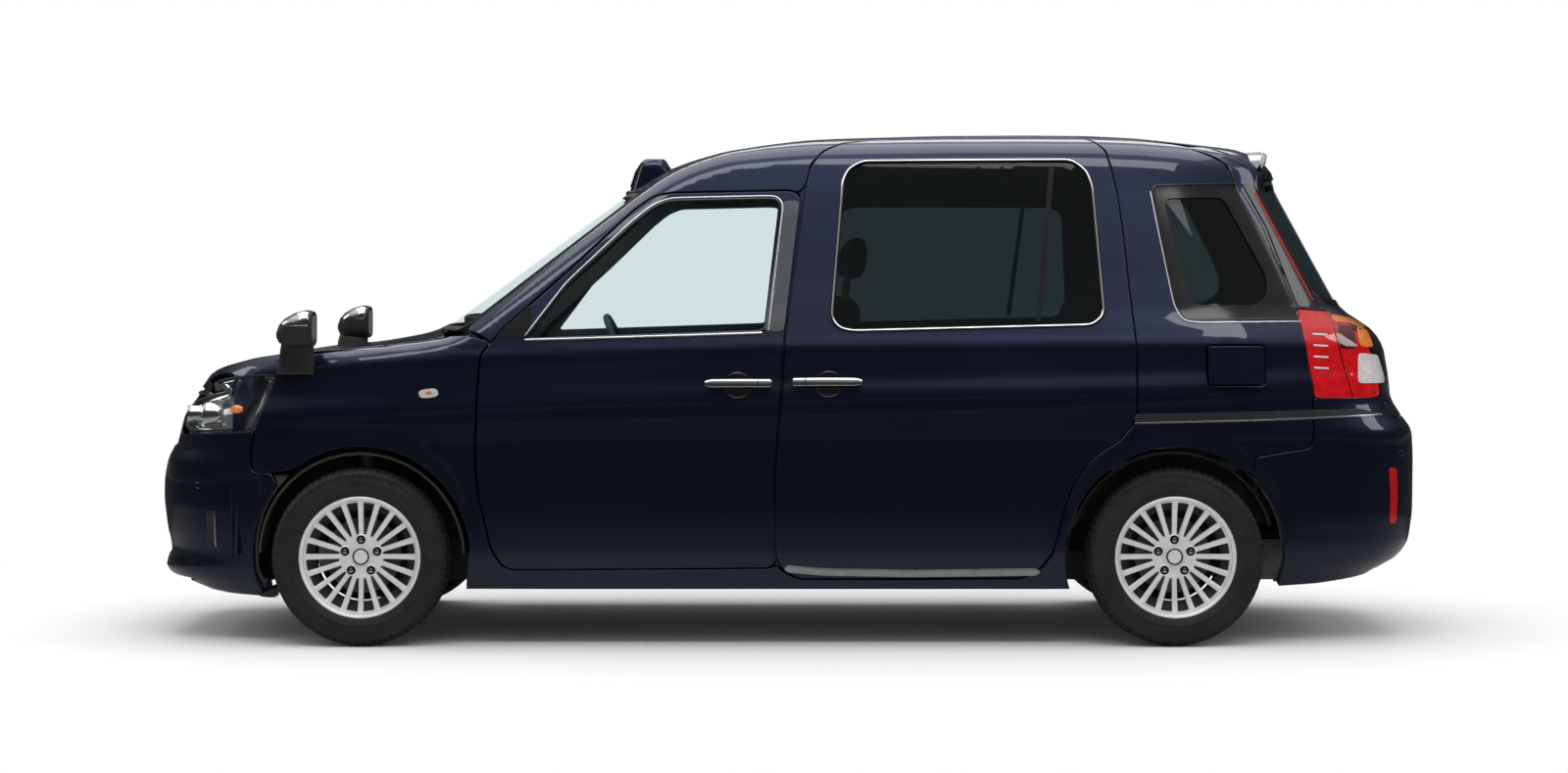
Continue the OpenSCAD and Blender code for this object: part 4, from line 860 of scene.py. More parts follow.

# %% [markdown]
# ## Copies by rule
# Spokes, tread blocks, nuts and the upright bars of the lower intake repeat by a fixed turn or
# step. One Geometry Nodes tree makes them all: it lays a copy on each of a row of points, moves
# and turns each one by its number, realizes them and gives them their finish. The result is
# baked to a plain mesh.

# %% The tree of copies
def copies_tree():
    tree = bpy.data.node_groups.new("copies", "GeometryNodeTree")
    face = tree.interface
    face.new_socket("Part", in_out="INPUT", socket_type="NodeSocketGeometry")
    for label, kind in (("Count", "NodeSocketInt"), ("Step", "NodeSocketVector"),
                        ("Turn", "NodeSocketVector"), ("Finish", "NodeSocketMaterial")):
        face.new_socket(label, in_out="INPUT", socket_type=kind)
    face.new_socket("Copies", in_out="OUTPUT", socket_type="NodeSocketGeometry")
    add, link = tree.nodes.new, tree.links.new
    given, out = add("NodeGroupInput"), add("NodeGroupOutput")
    row, number = add("GeometryNodeMeshLine"), add("GeometryNodeInputIndex")
    move, turn = add("ShaderNodeVectorMath"), add("ShaderNodeVectorMath")
    move.operation = turn.operation = "SCALE"
    place, lay = add("GeometryNodeSetPosition"), add("GeometryNodeInstanceOnPoints")
    real, paint_it = add("GeometryNodeRealizeInstances"), add("GeometryNodeSetMaterial")
    row.inputs["Offset"].default_value = (0, 0, 0)
    link(given.outputs["Count"], row.inputs["Count"])
    for node, name in ((move, "Step"), (turn, "Turn")):
        link(given.outputs[name], node.inputs[0])
        link(number.outputs[0], node.inputs["Scale"])
    link(row.outputs[0], place.inputs["Geometry"])
    link(move.outputs[0], place.inputs["Position"])
    link(place.outputs[0], lay.inputs["Points"])
    link(given.outputs["Part"], lay.inputs["Instance"])
    link(turn.outputs[0], lay.inputs["Rotation"])
    link(lay.outputs[0], real.inputs[0])
    link(real.outputs[0], paint_it.inputs[0])
    link(given.outputs["Finish"], paint_it.inputs["Material"])
    link(paint_it.outputs[0], out.inputs[0])
    return tree


COPIES = copies_tree()


def copied(obj, count, step=(0, 0, 0), turn=(0, 0, 0)):
    """Runs the tree of copies on an object and keeps the result as its mesh."""
    finish = obj.data.materials[0]
    rule = obj.modifiers.new("copies", "NODES")
    rule.node_group = COPIES
    names = {i.name: i.identifier for i in COPIES.interface.items_tree if i.in_out == "INPUT"}
    rule[names["Count"]] = count
    rule[names["Step"]] = tuple(float(v) for v in step)
    rule[names["Turn"]] = tuple(float(v) for v in turn)
    rule[names["Finish"]] = finish
    bpy.context.view_layer.update()
    whole = bpy.data.meshes.new_from_object(obj.evaluated_get(bpy.context.evaluated_depsgraph_get()))
    obj.modifiers.clear()
    old = obj.data
    obj.data = whole
    bpy.data.meshes.remove(old)
    if not whole.materials:
        whole.materials.append(finish)
    return obj


def plain(name, points, faces, finish):
    """A bare object in mm data that isn't placed on a body yet."""
    mesh = bpy.data.meshes.new(name)
    mesh.from_pydata((np.asarray(points, float) * MM).tolist(), [], faces)
    mesh.materials.append(finish)
    obj = bpy.data.objects.new(name, mesh)
    scene.collection.objects.link(obj)
    return obj


def tidy(obj, degrees=40):
    """Merged doubles, outward faces and edges marked by angle."""
    bm = bmesh.new()
    bm.from_mesh(obj.data)
    bmesh.ops.remove_doubles(bm, verts=bm.verts, dist=1e-6)
    bmesh.ops.recalc_face_normals(bm, faces=bm.faces)
    for f in bm.faces:
        f.smooth = True
    bm.to_mesh(obj.data)
    bm.free()
    smooth_by_angle(obj, degrees)
    return obj


def turned(name, profile, finish, n=96):
    """A closed profile of radius and height, turned about Y, the wheel's axis."""
    pts, m = [], len(profile)
    for i in range(n):
        a = 2 * math.pi * i / n
        pts += [(r * math.cos(a), t, r * math.sin(a)) for r, t in profile]
    faces = [[i * m + a, i * m + (a + 1) % m, (i + 1) % n * m + (a + 1) % m, (i + 1) % n * m + a]
             for i in range(n) for a in range(m)]
    return tidy(plain(name, pts, faces, finish))


def loft(name, rings, finish, close=True):
    """A skin over a row of closed rings, capped at both ends."""
    m, pts = len(rings[0]), np.vstack(rings)
    faces = [[i * m + a, i * m + (a + 1) % m, (i + 1) * m + (a + 1) % m, (i + 1) * m + a]
             for i in range(len(rings) - 1) for a in range(m)]
    if close:
        faces += [list(range(m))[::-1], [(len(rings) - 1) * m + a for a in range(m)]]
    return tidy(plain(name, pts, faces, finish))


def oval(centre, half_a, half_b, n=24, power=2.6):
    """Points of a rounded oval as two coordinates."""
    t = np.linspace(0, 2 * math.pi, n, endpoint=False)
    c, s = np.cos(t), np.sin(t)
    return np.stack([centre[0] + half_a * np.sign(c) * np.abs(c) ** (2 / power),
                     centre[1] + half_b * np.sign(s) * np.abs(s) ** (2 / power)], 1)


def joined(name, objs, body):
    """Several pieces as one object that rides on a body."""
    bpy.ops.object.select_all(action="DESELECT")
    for o in objs:
        o.select_set(True)
    bpy.context.view_layer.objects.active = objs[0]
    bpy.ops.object.join()
    objs[0].name = objs[0].data.name = name
    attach(objs[0], body)
    return objs[0]


def twin(obj, name):
    """The mirror image of an object across the centreline, with its faces turned back outwards."""
    mesh = obj.data.copy()
    bm = bmesh.new()
    bm.from_mesh(mesh)
    bm.transform(Matrix.Scale(-1, 4, (0, 1, 0)))
    bmesh.ops.reverse_faces(bm, faces=bm.faces)
    bm.to_mesh(mesh)
    bm.free()
    other = bpy.data.objects.new(name, mesh)
    scene.collection.objects.link(other)
    return other

# %% [markdown]
# ## Wheels
# A tyre is a turned profile, and its tread is one pitch of blocks copied round it, so the
# blocks are real edges and catch the light at the shoulder. The wheel is a turned rim and hub
# with twenty slim spokes. Everything is built once about the axle and then carried to the
# four corners, mirrored for the left side.

# %% Tyre
TREAD, PITCHES = 301.2, 72


def tyre():
    half = [(191.5, 70), (203, 74), (207, 80), (214, 86), (220, 87.5), (226, 89.5), (228, 91), (231, 91),
            (233, 90), (246, 92.2), (262, 91.5), (274, 88), (276, 88.6), (279, 88.4), (281, 86),
            (287, 81.5), (291, 76), (294, 66), (294.6, 40), (294.8, 0)]
    carcass = turned("carcass", half + [(r, -t) for r, t in half[-2::-1]], rubber, 144)
    blocks = []
    run = math.radians(360 / PITCHES)
    for t0, t1, r0, r1, fill, skew in ((-15, 15, TREAD, TREAD, 0.84, 0.1),
                                       (20, 41, TREAD, TREAD - 0.6, 0.82, 0.22),
                                       (-41, -20, TREAD - 0.6, TREAD, 0.82, 0.22),
                                       (46, 74, TREAD - 1.2, TREAD - 7, 0.62, 0.0),
                                       (-74, -46, TREAD - 7, TREAD - 1.2, 0.62, 0.0),
                                       (74, 90.5, TREAD - 7, 283.0, 0.55, 0.0),
                                       (-90.5, -74, 283.0, TREAD - 7, 0.55, 0.0)):
        ring = []
        for a in (-fill / 2, fill / 2):
            for t, r in ((t0, r0), (t1, r1)):
                turn = run * (a + skew * (t - t0) / (t1 - t0))
                low = min(r, 300) - (9 if abs(t) < 80 else 5)
                ring.append([(r * math.sin(turn), t, r * math.cos(turn)),
                             (low * math.sin(turn), t, low * math.cos(turn))])
        p = [q for pair in ring for q in pair]
        blocks.append((p, [[0, 2, 6, 4], [1, 5, 7, 3], [0, 1, 3, 2], [4, 6, 7, 5], [0, 4, 5, 1],
                           [2, 3, 7, 6]]))
    pts, faces = [], []
    for p, f in blocks:
        faces += [[i + len(pts) for i in q] for q in f]
        pts += p
    tread = tidy(plain("tread", pts, faces, rubber), 20)
    copied(tread, PITCHES, turn=(0, 2 * math.pi / PITCHES, 0))
    return [carcass, tread]


# %% Rim, spokes and nuts
SPOKES, NUTS = 20, 5
TRACK_HALF = 742.5


def spoke():
    """One spoke, standing straight up from the hub, dished outwards towards the rim."""
    rings = []
    for r, width, high, low in ((58, 9, 35, 12), (70, 8.4, 36.5, 12), (90, 8.2, 39, 16), (130, 8.8, 45, 26),
                                (165, 9.6, 52, 36), (184, 10.5, 58, 44), (190, 11.5, 60, 46)):
        ring = [(-width, low), (-width, high - 4), (-width + 1.2, high - 1.2), (-width + 4, high),
                (width - 4, high), (width - 1.2, high - 1.2), (width, high - 4), (width, low)]
        rings.append(np.array([(x, t, r) for x, t in ring]))
    return loft("spoke", rings, silver)


def nut(n=6):
    """One wheel nut at the top of the bolt circle."""
    rings = []
    for size, t in ((9.5, 34), (9.5, 42), (8.4, 45), (5.4, 46.4), (2.6, 46.8)):
        rings.append(np.array([(size * math.cos(2 * math.pi * i / n), t,
                                bolt_ring + size * math.sin(2 * math.pi * i / n)) for i in range(n)]))
    return loft("nut", rings, chrome)


def rim():
    """The rim's lip, barrel, hub, spokes, cap and nuts, as separate closed pieces."""
    lip = turned("lip", [(202, 80.5), (205, 79), (205, 73.5), (203, 71), (193, 68), (190, 52), (184, 50),
                         (184, 56), (188, 62), (192, 70), (198, 75)], silver)
    # the barrel is dull black as painted shade for the dark inside of the wheel behind the spokes
    barrel = turned("barrel", [(190, 51), (188, 44), (163, 22), (163, -36), (188, -46), (191.5, -68),
                               (203, -72), (205, -78), (202, -80.5), (186, -70), (182, -48), (157, -38),
                               (157, 20), (180, 40), (184, 51)], under)
    hub = turned("hub", [(0.5, 45), (22, 44.5), (27, 43.5), (29, 39), (30, 36), (44, 36.5), (70, 37),
                         (74, 35.5), (76, 30), (74, 14), (66, -10), (66, -36), (0.5, -36)], silver, 64)
    seats = []
    for i in range(NUTS):
        a = 2 * math.pi * i / NUTS
        seat = turned("seat", [(15, 30), (15.4, 38.0), (17.0, 38.6), (18.6, 37.6), (18.8, 30)], silver, 28)
        # the gloss black well round each nut is painted shade for the depth of the nut's pocket
        well = turned("well", [(0.5, 34), (0.5, 37.6), (15.2, 37.6), (15.2, 34)], gloss, 28)
        for ring in (seat, well):
            ring.data.transform(Matrix.Translation((bolt_ring * MM * math.sin(a), 0,
                                                    bolt_ring * MM * math.cos(a))))
            seats.append(ring)
    spokes_all = copied(spoke(), SPOKES, turn=(0, 2 * math.pi / SPOKES, 0))
    nuts = copied(nut(), NUTS, turn=(0, 2 * math.pi / NUTS, 0))
    collar = turned("collar", [(23.2, 42), (23.2, 45.6), (25, 46.2), (28.4, 44.6), (28.4, 40)], gloss, 48)
    cap = turned("cap", [(0.5, 47.2), (10, 47), (19, 46.2), (22.4, 44.8), (23, 42), (0.5, 42)], silver, 48)
    return [lip, barrel, hub, spokes_all, cap, collar] + seats + [nuts]


def disc():
    """The brake disc behind the spokes."""
    return [turned("disc", [(128, -38), (128, -26), (72, -26), (70, -14), (30, -12), (30, -38)], steel, 72)]


tyre_made = joined("tyre_model", tyre(), "body")
rim_made = joined("rim_model", rim() + disc(), "body")


def to_corner(model, name, x, right, body, node):
    """A copy of a wheel part at one corner, mirrored on the left so that its face looks out."""
    mesh = model.data.copy()
    bm = bmesh.new()
    bm.from_mesh(mesh)
    if not right:
        bm.transform(Matrix.Scale(-1, 4, (0, 1, 0)))
        bmesh.ops.reverse_faces(bm, faces=bm.faces)
    bm.transform(Matrix.Translation((x * MM, (TRACK_HALF if right else -TRACK_HALF) * MM, tyre_r * MM)))
    bm.to_mesh(mesh)
    bm.free()
    obj = bpy.data.objects.new(name, mesh)
    scene.collection.objects.link(obj)
    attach(obj, body)
    if node:
        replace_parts(obj, node)


for end, x in (("front", front_axle), ("rear", rear_axle)):
    for hand in ("left", "right"):
        corner = end + "_" + hand
        to_corner(tyre_made, "tyre_with_tread_" + corner, x, hand == "right", "wheel_" + corner,
                  "tyre_" + corner)
        to_corner(rim_made, "spoked_wheel_" + corner, x, hand == "right", "wheel_" + corner,
                  "rim_" + corner)
shield = turned("shield", [(44, -64), (60, -58), (148, -58), (152, -55), (154, -58), (152, -61), (60, -62),
                           (46, -68)], under, 64)
for name, x, body in (("front_left", front_axle, "knuckle_left"),
                      ("front_right", front_axle, "knuckle_right"), ("rear_left", rear_axle, "body"),
                      ("rear_right", rear_axle, "body")):
    to_corner(shield, "brake_shield_" + name, x, "right" in name, body, None)
for model in (tyre_made, rim_made, shield):
    bpy.data.objects.remove(model)
print("wheels made: 4, spokes in each:", SPOKES)

# %% [markdown]
# ## Window trims and pillars
# Every window sits in a dark rubber lip, and the front one also has a satin rail along its
# sill. The pillar behind the front door is covered with a satin plate, the rear pillar with a
# gloss black one that carries a thin red strip. All of them follow the skin, so they are drawn
# on the same shell as the panels, a few millimetres proud of it.

# %% Lips of the windows
seal = rect(-2.0, 13.0, -7.0, 0.6, 1.2)
thin_seal = rect(-2.0, 9.0, -7.0, 0.6, 1.2)
for name, line, body, hand, cut in (
        ("front_window_lip", front_hole, "front_door_left", "both", thin_seal),
        ("sliding_window_lip", sliding_hole, "body", "left", seal),
        ("rear_window_lip", rear_hole, "rear_door_right", "right", seal),
        ("quarter_window_lip", quarter_hole, "body", "both", rect(-2.0, 6.0, -7.0, 0.4, 1.2))):
    strip(name, line, cut, view_shell, gloss, body, closed=True, side=hand)
strip("screen_lip", screen_line, rect(-2.0, 12.0, -4.0, 1.0, 0.8), view_front, black, closed=True)
strip("tailgate_window_lip", gate_window, rect(-2.0, 22.0, -7.0, 0.4, 1.2), view_back, gloss, "tailgate",
      closed=True)

# %% Bright rails of the windows
rail = rect(-5.0, 5.0, -2.0, 4.0)
strip("front_sill_rail", dense([(-884, 1033), (-700, 1038), (-300, 1050), (-84, 1057)], side, False, 12),
      rail, view_shell, satin, "front_door_left", side="both")
strip("front_frame_rail",
      dense([(-62, 1068), (-12, 1500), (-30, 1524), (-400, 1516), (-458, 1494), (-530, 1436), (-748, 1228),
             (-884, 1048)], side, False, 18), rect(-3.5, 3.5, -2.0, 3.0), view_shell, satin,
      "front_door_left", side="both")
bright = rect(-3.5, 3.5, -2.0, 3.5)
for name, points, body, hand in (("sliding_chrome", sliding_window, "body", "left"),
                                 ("rear_chrome", rear_window, "rear_door_right", "right")):
    ring = even(dense(points, side), 9.0, 9.0)
    ring = outset(ring if area(ring) > 0 else ring[::-1], 5.0)
    strip(name, ring, bright, view_shell, chrome, body, closed=True, side=hand)
strip("quarter_chrome", dense([(1245, 1540), (1268, 1400), (1312, 1150), (1340, 1097), (1400, 1092),
                               (1752, 1094)], side, False, 14), rect(-3, 3, -2, 3), view_shell, satin,
      side="both")
quarter_clear = [(1292, 1515), (1500, 1520), (1640, 1250), (1642, 1190), (1600, 1152), (1400, 1152),
                 (1360, 1190)]
panel("quarter_black_band", quarter_hole, view_shell, gloss, holes=[dense(quarter_clear, side, blur=14)],
      gap=1.5, roll=1.0, depth=3.0, sink=1.0, slot="black_plastic", side="both")


# %% Plates on the pillars
def plate(name, points, finish, body="body", sink=-3.0, depth=6.0, hand="both", view=view_shell, to=side,
          slot="black_plastic", **more):
    """A small panel laid on the skin; a sink below zero stands proud of it."""
    return panel(name, dense(points, to), view, finish, body, gap=0.5, roll=1.6, depth=depth, sink=sink,
                 step=more.pop("step", 24), slot=slot, side=hand, blur=more.pop("blur", 5), **more)


plate("door_post_cover", [(-78, 1062), (-14, 1508), (44, 1508), (-10, 1062)], smoke, "front_door_left",
      -2.0, slot="bare_steel")
plate("sail_garnish", [(-953, 1078), (-862, 1160), (-868, 1046), (-990, 1038)], gloss, "front_door_left")
plate("rear_pillar_garnish", [(1568, 1574), (1633, 1549), (1838, 1139), (1746, 1143), (1652, 1418)], gloss)
plate("red_strip", [(1604, 1556), (1616, 1551), (1813, 1158), (1804, 1160)],
      surface("red_lens", (0.30, 0.004, 0.006), (0.42, 0.008, 0.008), 60, (0.06, 0.1), Coat_Weight=1.0),
      sink=-4.5, depth=3, slot="lamp_red", step=12, blur=2)
red = bpy.data.materials["red_lens"]
plate("window_divider", [(900, 1640), (918, 1640), (858, 1090), (840, 1090)], gloss, "body", 0.5, 5, "left",
      blur=3)
plate("rear_window_divider", [(888, 1510), (904, 1510), (858, 1092), (840, 1092)], gloss, "rear_door_right",
      0.5, 5, "right", blur=3)
strip("sliding_door_foot", dense([(-8, 264), (120, 252), (420, 247), (852, 252)], side, False, 20),
      rect(-14.0, 12.0, -2.0, 6.0, 3.0), view_shell, satin, side="left", taper=12)
print("trims on the sides done")

# %% [markdown]
# ## Handles
# A door handle is a bar over a round cup. The cup is pressed into the door, so here it is a
# dark dished plate with a bright rim, its dark being painted shade for the hollow of the cup,
# and the bar is a lofted bow with two feet, split by the shut line between grip and lock.

# %% Handle
def handle(name, x0, x1, split, z, cup, left, right):
    """A handle for the body on the left, on the right, or for both."""

    def bar(a, b, first, last):
        rings = []
        for t in np.linspace(0, 1, 15):
            x = a + (b - a) * t
            ends = min(1.0, (t / 0.14 if first else 9), ((1 - t) / 0.14 if last else 9))
            half = 14.5 * (0.55 + 0.45 * ends ** 0.5)
            q = oval((0, 0), half, 5.5 * (0.45 + 0.55 * ends ** 0.5), 20, 3.0)
            lift = 24 + 4 * math.sin(math.pi * (x - x0) / (x1 - x0))
            base, n = view_shell(side([(x, z)]))
            up = np.array([0.0, 0.0, 1.0])
            up = up - n[0] * np.dot(up, n[0])
            rings.append(base[0] + n[0] * lift + q[:, :1] * up + q[:, 1:] * n[0])
        return loft("bar", rings, chrome)

    def foot(x):
        base, n = view_shell(side([(x, z)]))
        ring = oval((0, 0), 9, 7, 16)
        return loft("foot", [base[0] + n[0] * d + np.stack([ring[:, 0], 0 * ring[:, 0], ring[:, 1]], 1)
                             for d in (-3, 20)], chrome)

    parts = [bar(x0, split - 1.5, True, False), bar(split + 1.5, x1, False, True), foot(x0 + 22),
             foot(x1 - 22)]
    t = np.linspace(0, 2 * math.pi, 40, endpoint=False)
    rings = []
    for r, d in ((50, 0.6), (46, 1.8), (43, 0.6), (40, 0.9), (26, 0.8), (2, 0.8)):
        q = side(np.stack([cup + r * np.cos(t), z - 2 + r * 0.9 * np.sin(t)], 1))
        p, n = view_shell(q)
        rings.append(p + n * d)
    # the dish is gloss black as painted shade for the recess of the cup
    dish = loft("dish", [rings[0] - view_shell(side([(cup, z)]))[1] * 3] + rings, gloss)
    made = joined(name, parts + [dish], left or right)
    if right:
        other = twin(made, name + "_right")
        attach(other, right)
    if left:
        made.name = name + "_left"
    else:
        bpy.data.objects.remove(made)


handle("front_handle", -276, -51, -98, 884, -167, "front_door_left", "front_door_right")
handle("sliding_handle", 17, 252, 62, 888, 140, "body", None)
handle("rear_handle", 17, 252, 62, 888, 140, None, "rear_door_right")
# a flat black plate for the rail slot: the rail's own black, and painted shade for the depth of the slot
plate("slide_rail", [(1168, 786), (1952, 800), (2046, 776), (1170, 752)], black, "body", -0.4, 5, "left")
# a satin strip along the ledge below the slot, a painted highlight for the light the ledge catches
strip("slide_rail_edge", dense([(1170, 754), (1600, 762), (2040, 776)], side, False, 20),
      rect(-3, 3, -2, 1.6, 1), view_shell, satin, side="left")

# %% [markdown]
# ## Lamps
# A lamp is a clear shell over a dark bowl, and what makes it read as a lamp is what stands
# inside: a bright bezel, a round projector, a bulb. Each lamp here is a bowl cut into the
# form, its inner parts, and a glass shell on top. The tail lamp is coloured glass instead.

# %% Lamp finishes
lens = surface("lamp_glass", (0.02, 0.02, 0.02), None, 5, (0.01, 0.03), see=((0.97, 0.98, 0.98), 0.10),
               Specular_IOR_Level=0.7)
red_lamp = surface("lamp_red_glass", (0.46, 0.004, 0.008), (0.56, 0.008, 0.012), 40, (0.04, 0.08),
                   Coat_Weight=1.0, bands=lambda w: w.noise(220.0, 1.0) * 0.02)
dark_red = surface("lamp_dark_red", (0.05, 0.002, 0.003), (0.08, 0.003, 0.004), 40, (0.05, 0.1),
                   Coat_Weight=1.0)
amber = surface("lamp_amber", (0.62, 0.16, 0.02), (0.72, 0.22, 0.04), 50, (0.08, 0.14), Coat_Weight=1.0)


def ribs(w):
    """Fine upright ribs, as in the glass of a reversing lamp."""
    across = w.node("ShaderNodeSeparateXYZ", out=0, Vector=w.node("ShaderNodeTexCoord", out=3))
    return (across * 900.0).sine() * 0.4


ribbed = surface("lamp_ribbed_clear", (0.52, 0.50, 0.50), (0.66, 0.64, 0.64), 60, (0.10, 0.2),
                 Coat_Weight=1.0, bands=ribs)
bowl = surface("lamp_bowl", (0.50, 0.52, 0.53), (0.74, 0.76, 0.77), 30, (0.12, 0.22), Metallic=0.7)


# %% Headlamps
def lamp_outline():
    """The headlamp's opening: drawn from the side, then from ahead, where it runs round the nose."""
    top = side([(-1740, 911), (-1800, 911), (-1880, 902), (-1960, 885)])
    inner = ahead_of([(-640, 852), (-560, 832), (-500, 815), (-490, 760), (-530, 730), (-600, 716)])
    low = side([(-2060, 712), (-1990, 711), (-1900, 716), (-1809, 726), (-1790, 780), (-1762, 858)])
    return np.vstack([top, inner, low])


head_outline = lamp_outline()
plate("headlamp_bowl", head_outline, bowl, sink=40, depth=8, to=lambda q: q, slot="lamp_clear", blur=4)
plate("headlamp_lens", head_outline, lens, sink=1.0, depth=4, to=lambda q: q, slot="lamp_clear", blur=4)
head_turn = head_outline if area(head_outline) > 0 else head_outline[::-1]
strip("headlamp_bezel", outset(even(head_turn, 9, 4), -9),
      rect(-7, 7, -42, -5, 2), view_shell, chrome, closed=True, side="both")
strip("headlamp_edge", head_outline, rect(-2, 6, -14, 0.0, 1), view_shell, black, closed=True, side="both")


def bulb_set(name, spot, size, kind):
    """A projector or a bulb set into the bowl, pointing straight ahead."""
    x, y, z = spot

    def ring(r, dx):
        return np.stack([0 * THIRTY + x + dx, y + r * np.cos(THIRTY), z + r * np.sin(THIRTY)], 1)

    if kind == "projector":
        shell = loft("shell", [ring(r * size, d) for r, d in ((0.6, 46), (0.9, 30), (1.0, 0), (1.0, -14),
                                                              (0.94, -17), (0.86, -14), (0.84, 4))], chrome)
        eye_glass = loft("eye", [ring(r * size, d) for r, d in ((0.83, 6), (0.80, -4), (0.62, -13),
                                                                (0.35, -18), (0.05, -20))], bowl_eye)
        return [shell, eye_glass]
    return [loft("bulb", [ring(r * size, d) for r, d in ((0.5, 20), (0.9, 8), (1.0, -2), (0.8, -14),
                                                         (0.4, -20), (0.05, -22))], amber)]


THIRTY = np.linspace(0, 2 * math.pi, 36, endpoint=False)
# one full turn in even steps
bowl_eye = surface("projector_eye", (0.02, 0.025, 0.03), (0.03, 0.035, 0.04), 30, (0.02, 0.04),
                   Coat_Weight=1.0)
inside = joined("headlamp_insides", bulb_set("low", (-1975, -650, 778), 40, "projector")
                + bulb_set("high", (-2045, -560, 775), 30, "projector")
                + bulb_set("turn", (-1868, -726, 798), 15, "bulb"), "body")
other = twin(inside, "headlamp_insides_right")
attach(other, "body")

# %% Tail lamps
tail_outline = np.vstack([side([(1791, 836), (1774, 940), (1762, 1024), (1737, 1138), (1840, 1131),
                                (1959, 1114), (2030, 1080)]),
                          behind([(-640, 1075), (-580, 1066), (-574, 960), (-577, 838), (-640, 833)]),
                          side([(2085, 831), (1990, 832)])])
plate("tail_lamp_lens", tail_outline, red_lamp, sink=0.5, depth=30, to=lambda q: q, slot="lamp_red", blur=4)
plate("tail_amber_strip", [(1868, 1122), (1956, 1107), (2016, 1080), (1998, 1070), (1930, 1090),
                           (1872, 1096)], amber, sink=-0.4, depth=3, slot="lamp_red", step=14, blur=3)
plate("tail_dark_block", [(1882, 1088), (1948, 1078), (1952, 1000), (1886, 1000)], dark_red, sink=-0.3,
      depth=3, slot="lamp_red", step=14, blur=4)
plate("tail_amber_patch", [(1962, 1082), (2008, 1066), (2024, 1004), (1964, 1008)], amber, sink=-0.3,
      depth=3, slot="lamp_red", step=14, blur=4)
plate("tail_clear_block", [(1956, 988), (2040, 980), (2066, 900), (2066, 880), (1950, 884)], ribbed,
      sink=-0.3, depth=3, slot="lamp_red", step=14, blur=4)
for i, z in enumerate((1052, 1014, 976, 938)):
    strip("tail_tick_%d" % (i + 1), dense([(1790, z + 1), (1842, z - 2)], side, False, 2),
          rect(-3, 3, -1, 1.6, 0.8), view_shell, ribbed, side="both", spacing=6, blur=1)
strip("tail_inner_line", dense([(1868, 1128), (1876, 1040), (1902, 930), (1930, 836)], side, False, 8),
      rect(-2, 2, -1, 1.4, 0.8), view_shell, dark_red, side="both")

# %% Small lamps
plate("side_repeater", [(-1244, 868), (-1180, 876), (-1168, 858), (-1172, 842), (-1236, 834), (-1248, 850)],
      lens, sink=-4, depth=5, slot="lamp_clear", step=10, blur=4)
plate("side_repeater_base", [(-1242, 867), (-1181, 874), (-1170, 858), (-1174, 843), (-1235, 836),
                             (-1246, 850)], ribbed, sink=-0.6, depth=3, slot="lamp_clear", step=10, blur=4)
plate("side_repeater_bulb", [(-1222, 862), (-1192, 866), (-1190, 850), (-1220, 846)], amber, sink=-1.2,
      depth=2, slot="lamp_clear", step=10, blur=4)
plate("rear_reflector", [(2058, 594), (2092, 594), (2096, 500), (2090, 400), (2062, 400), (2066, 500)],
      red, sink=-2, depth=4, slot="lamp_red", step=12, blur=3)
plate("fog_slot", [(-1984, 446), (-1948, 452), (-1946, 322), (-1966, 312), (-1984, 330)], black, sink=-0.4,
      depth=3, step=12, blur=5)
strip("fog_slot_edge", dense([(-1950, 450), (-1948, 326)], side, False, 6), rect(-4, 4, -1, 5, 2),
      view_shell, satin, side="both", taper=12)


def sensor(name, spot):
    """A small round parking sensor on the skin, on both sides."""
    x, z = spot
    t = THIRTY[::2]
    rings = []
    for r, d in ((11, -2), (11, 0.6), (9.6, 1.4), (8.6, 0.5), (7.6, 0.5), (4, 1.6), (0.4, 1.9)):
        p, n = view_shell(side(np.stack([x + r * np.cos(t), z + r * np.sin(t)], 1)))
        rings.append(p + n * d)
    made = loft(name, rings, navy)
    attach(made, "body")
    pair = twin(made, name + "_right")
    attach(pair, "body")


sensor("parking_sensor", (-2014, 534))
sensor("rear_parking_sensor", (2112, 640))
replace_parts(bpy.data.objects["headlamp_bowl_left"], "headlamps")
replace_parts(bpy.data.objects["tail_lamp_lens_left"], "tail_lamps")
print("lamps made")

# %% [markdown]
# ## Sign lamp, spoiler and mirrors
# The sign lamp on the roof is a moulded housing on a low foot. The mirrors stand on the front
# fenders, as on the older cars of this kind, with a chrome cap over a black shell, a glass that
# looks to the rear, and a black foot. Each is lofted through rounded sections.

# %% Roof sign lamp
def sign_lamp():
    """The housing on the roof and its low foot."""
    rows = []
    for t in np.linspace(0, 1, 11):
        z = 1540 + 125 * t
        front = -566 + (36 * min(t / 0.86, 1.0)) + max(0, t - 0.86) * 160
        back = -408 - max(0, t - 0.62) * 78
        half = 213 - 4 * t - max(0, t - 0.86) * 90
        q = oval(((front + back) / 2, 0), (back - front) / 2, half, 56, 5.0)
        rows.append(np.stack([q[:, 0], q[:, 1], 0 * q[:, 0] + z], 1))
    case = loft("case", rows, navy)
    foot_rows = []
    for z, grow in ((1530, 7), (1548, 7), (1552, 3)):
        q = oval((-487, 0), 82 + grow, 213 + grow, 56, 5.0)
        foot_rows.append(np.stack([q[:, 0], q[:, 1], 0 * q[:, 0] + z], 1))
    return joined("sign_lamp", [case, loft("foot", foot_rows, black)], "body")


sign = sign_lamp()
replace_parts(sign, "roof_lamp")


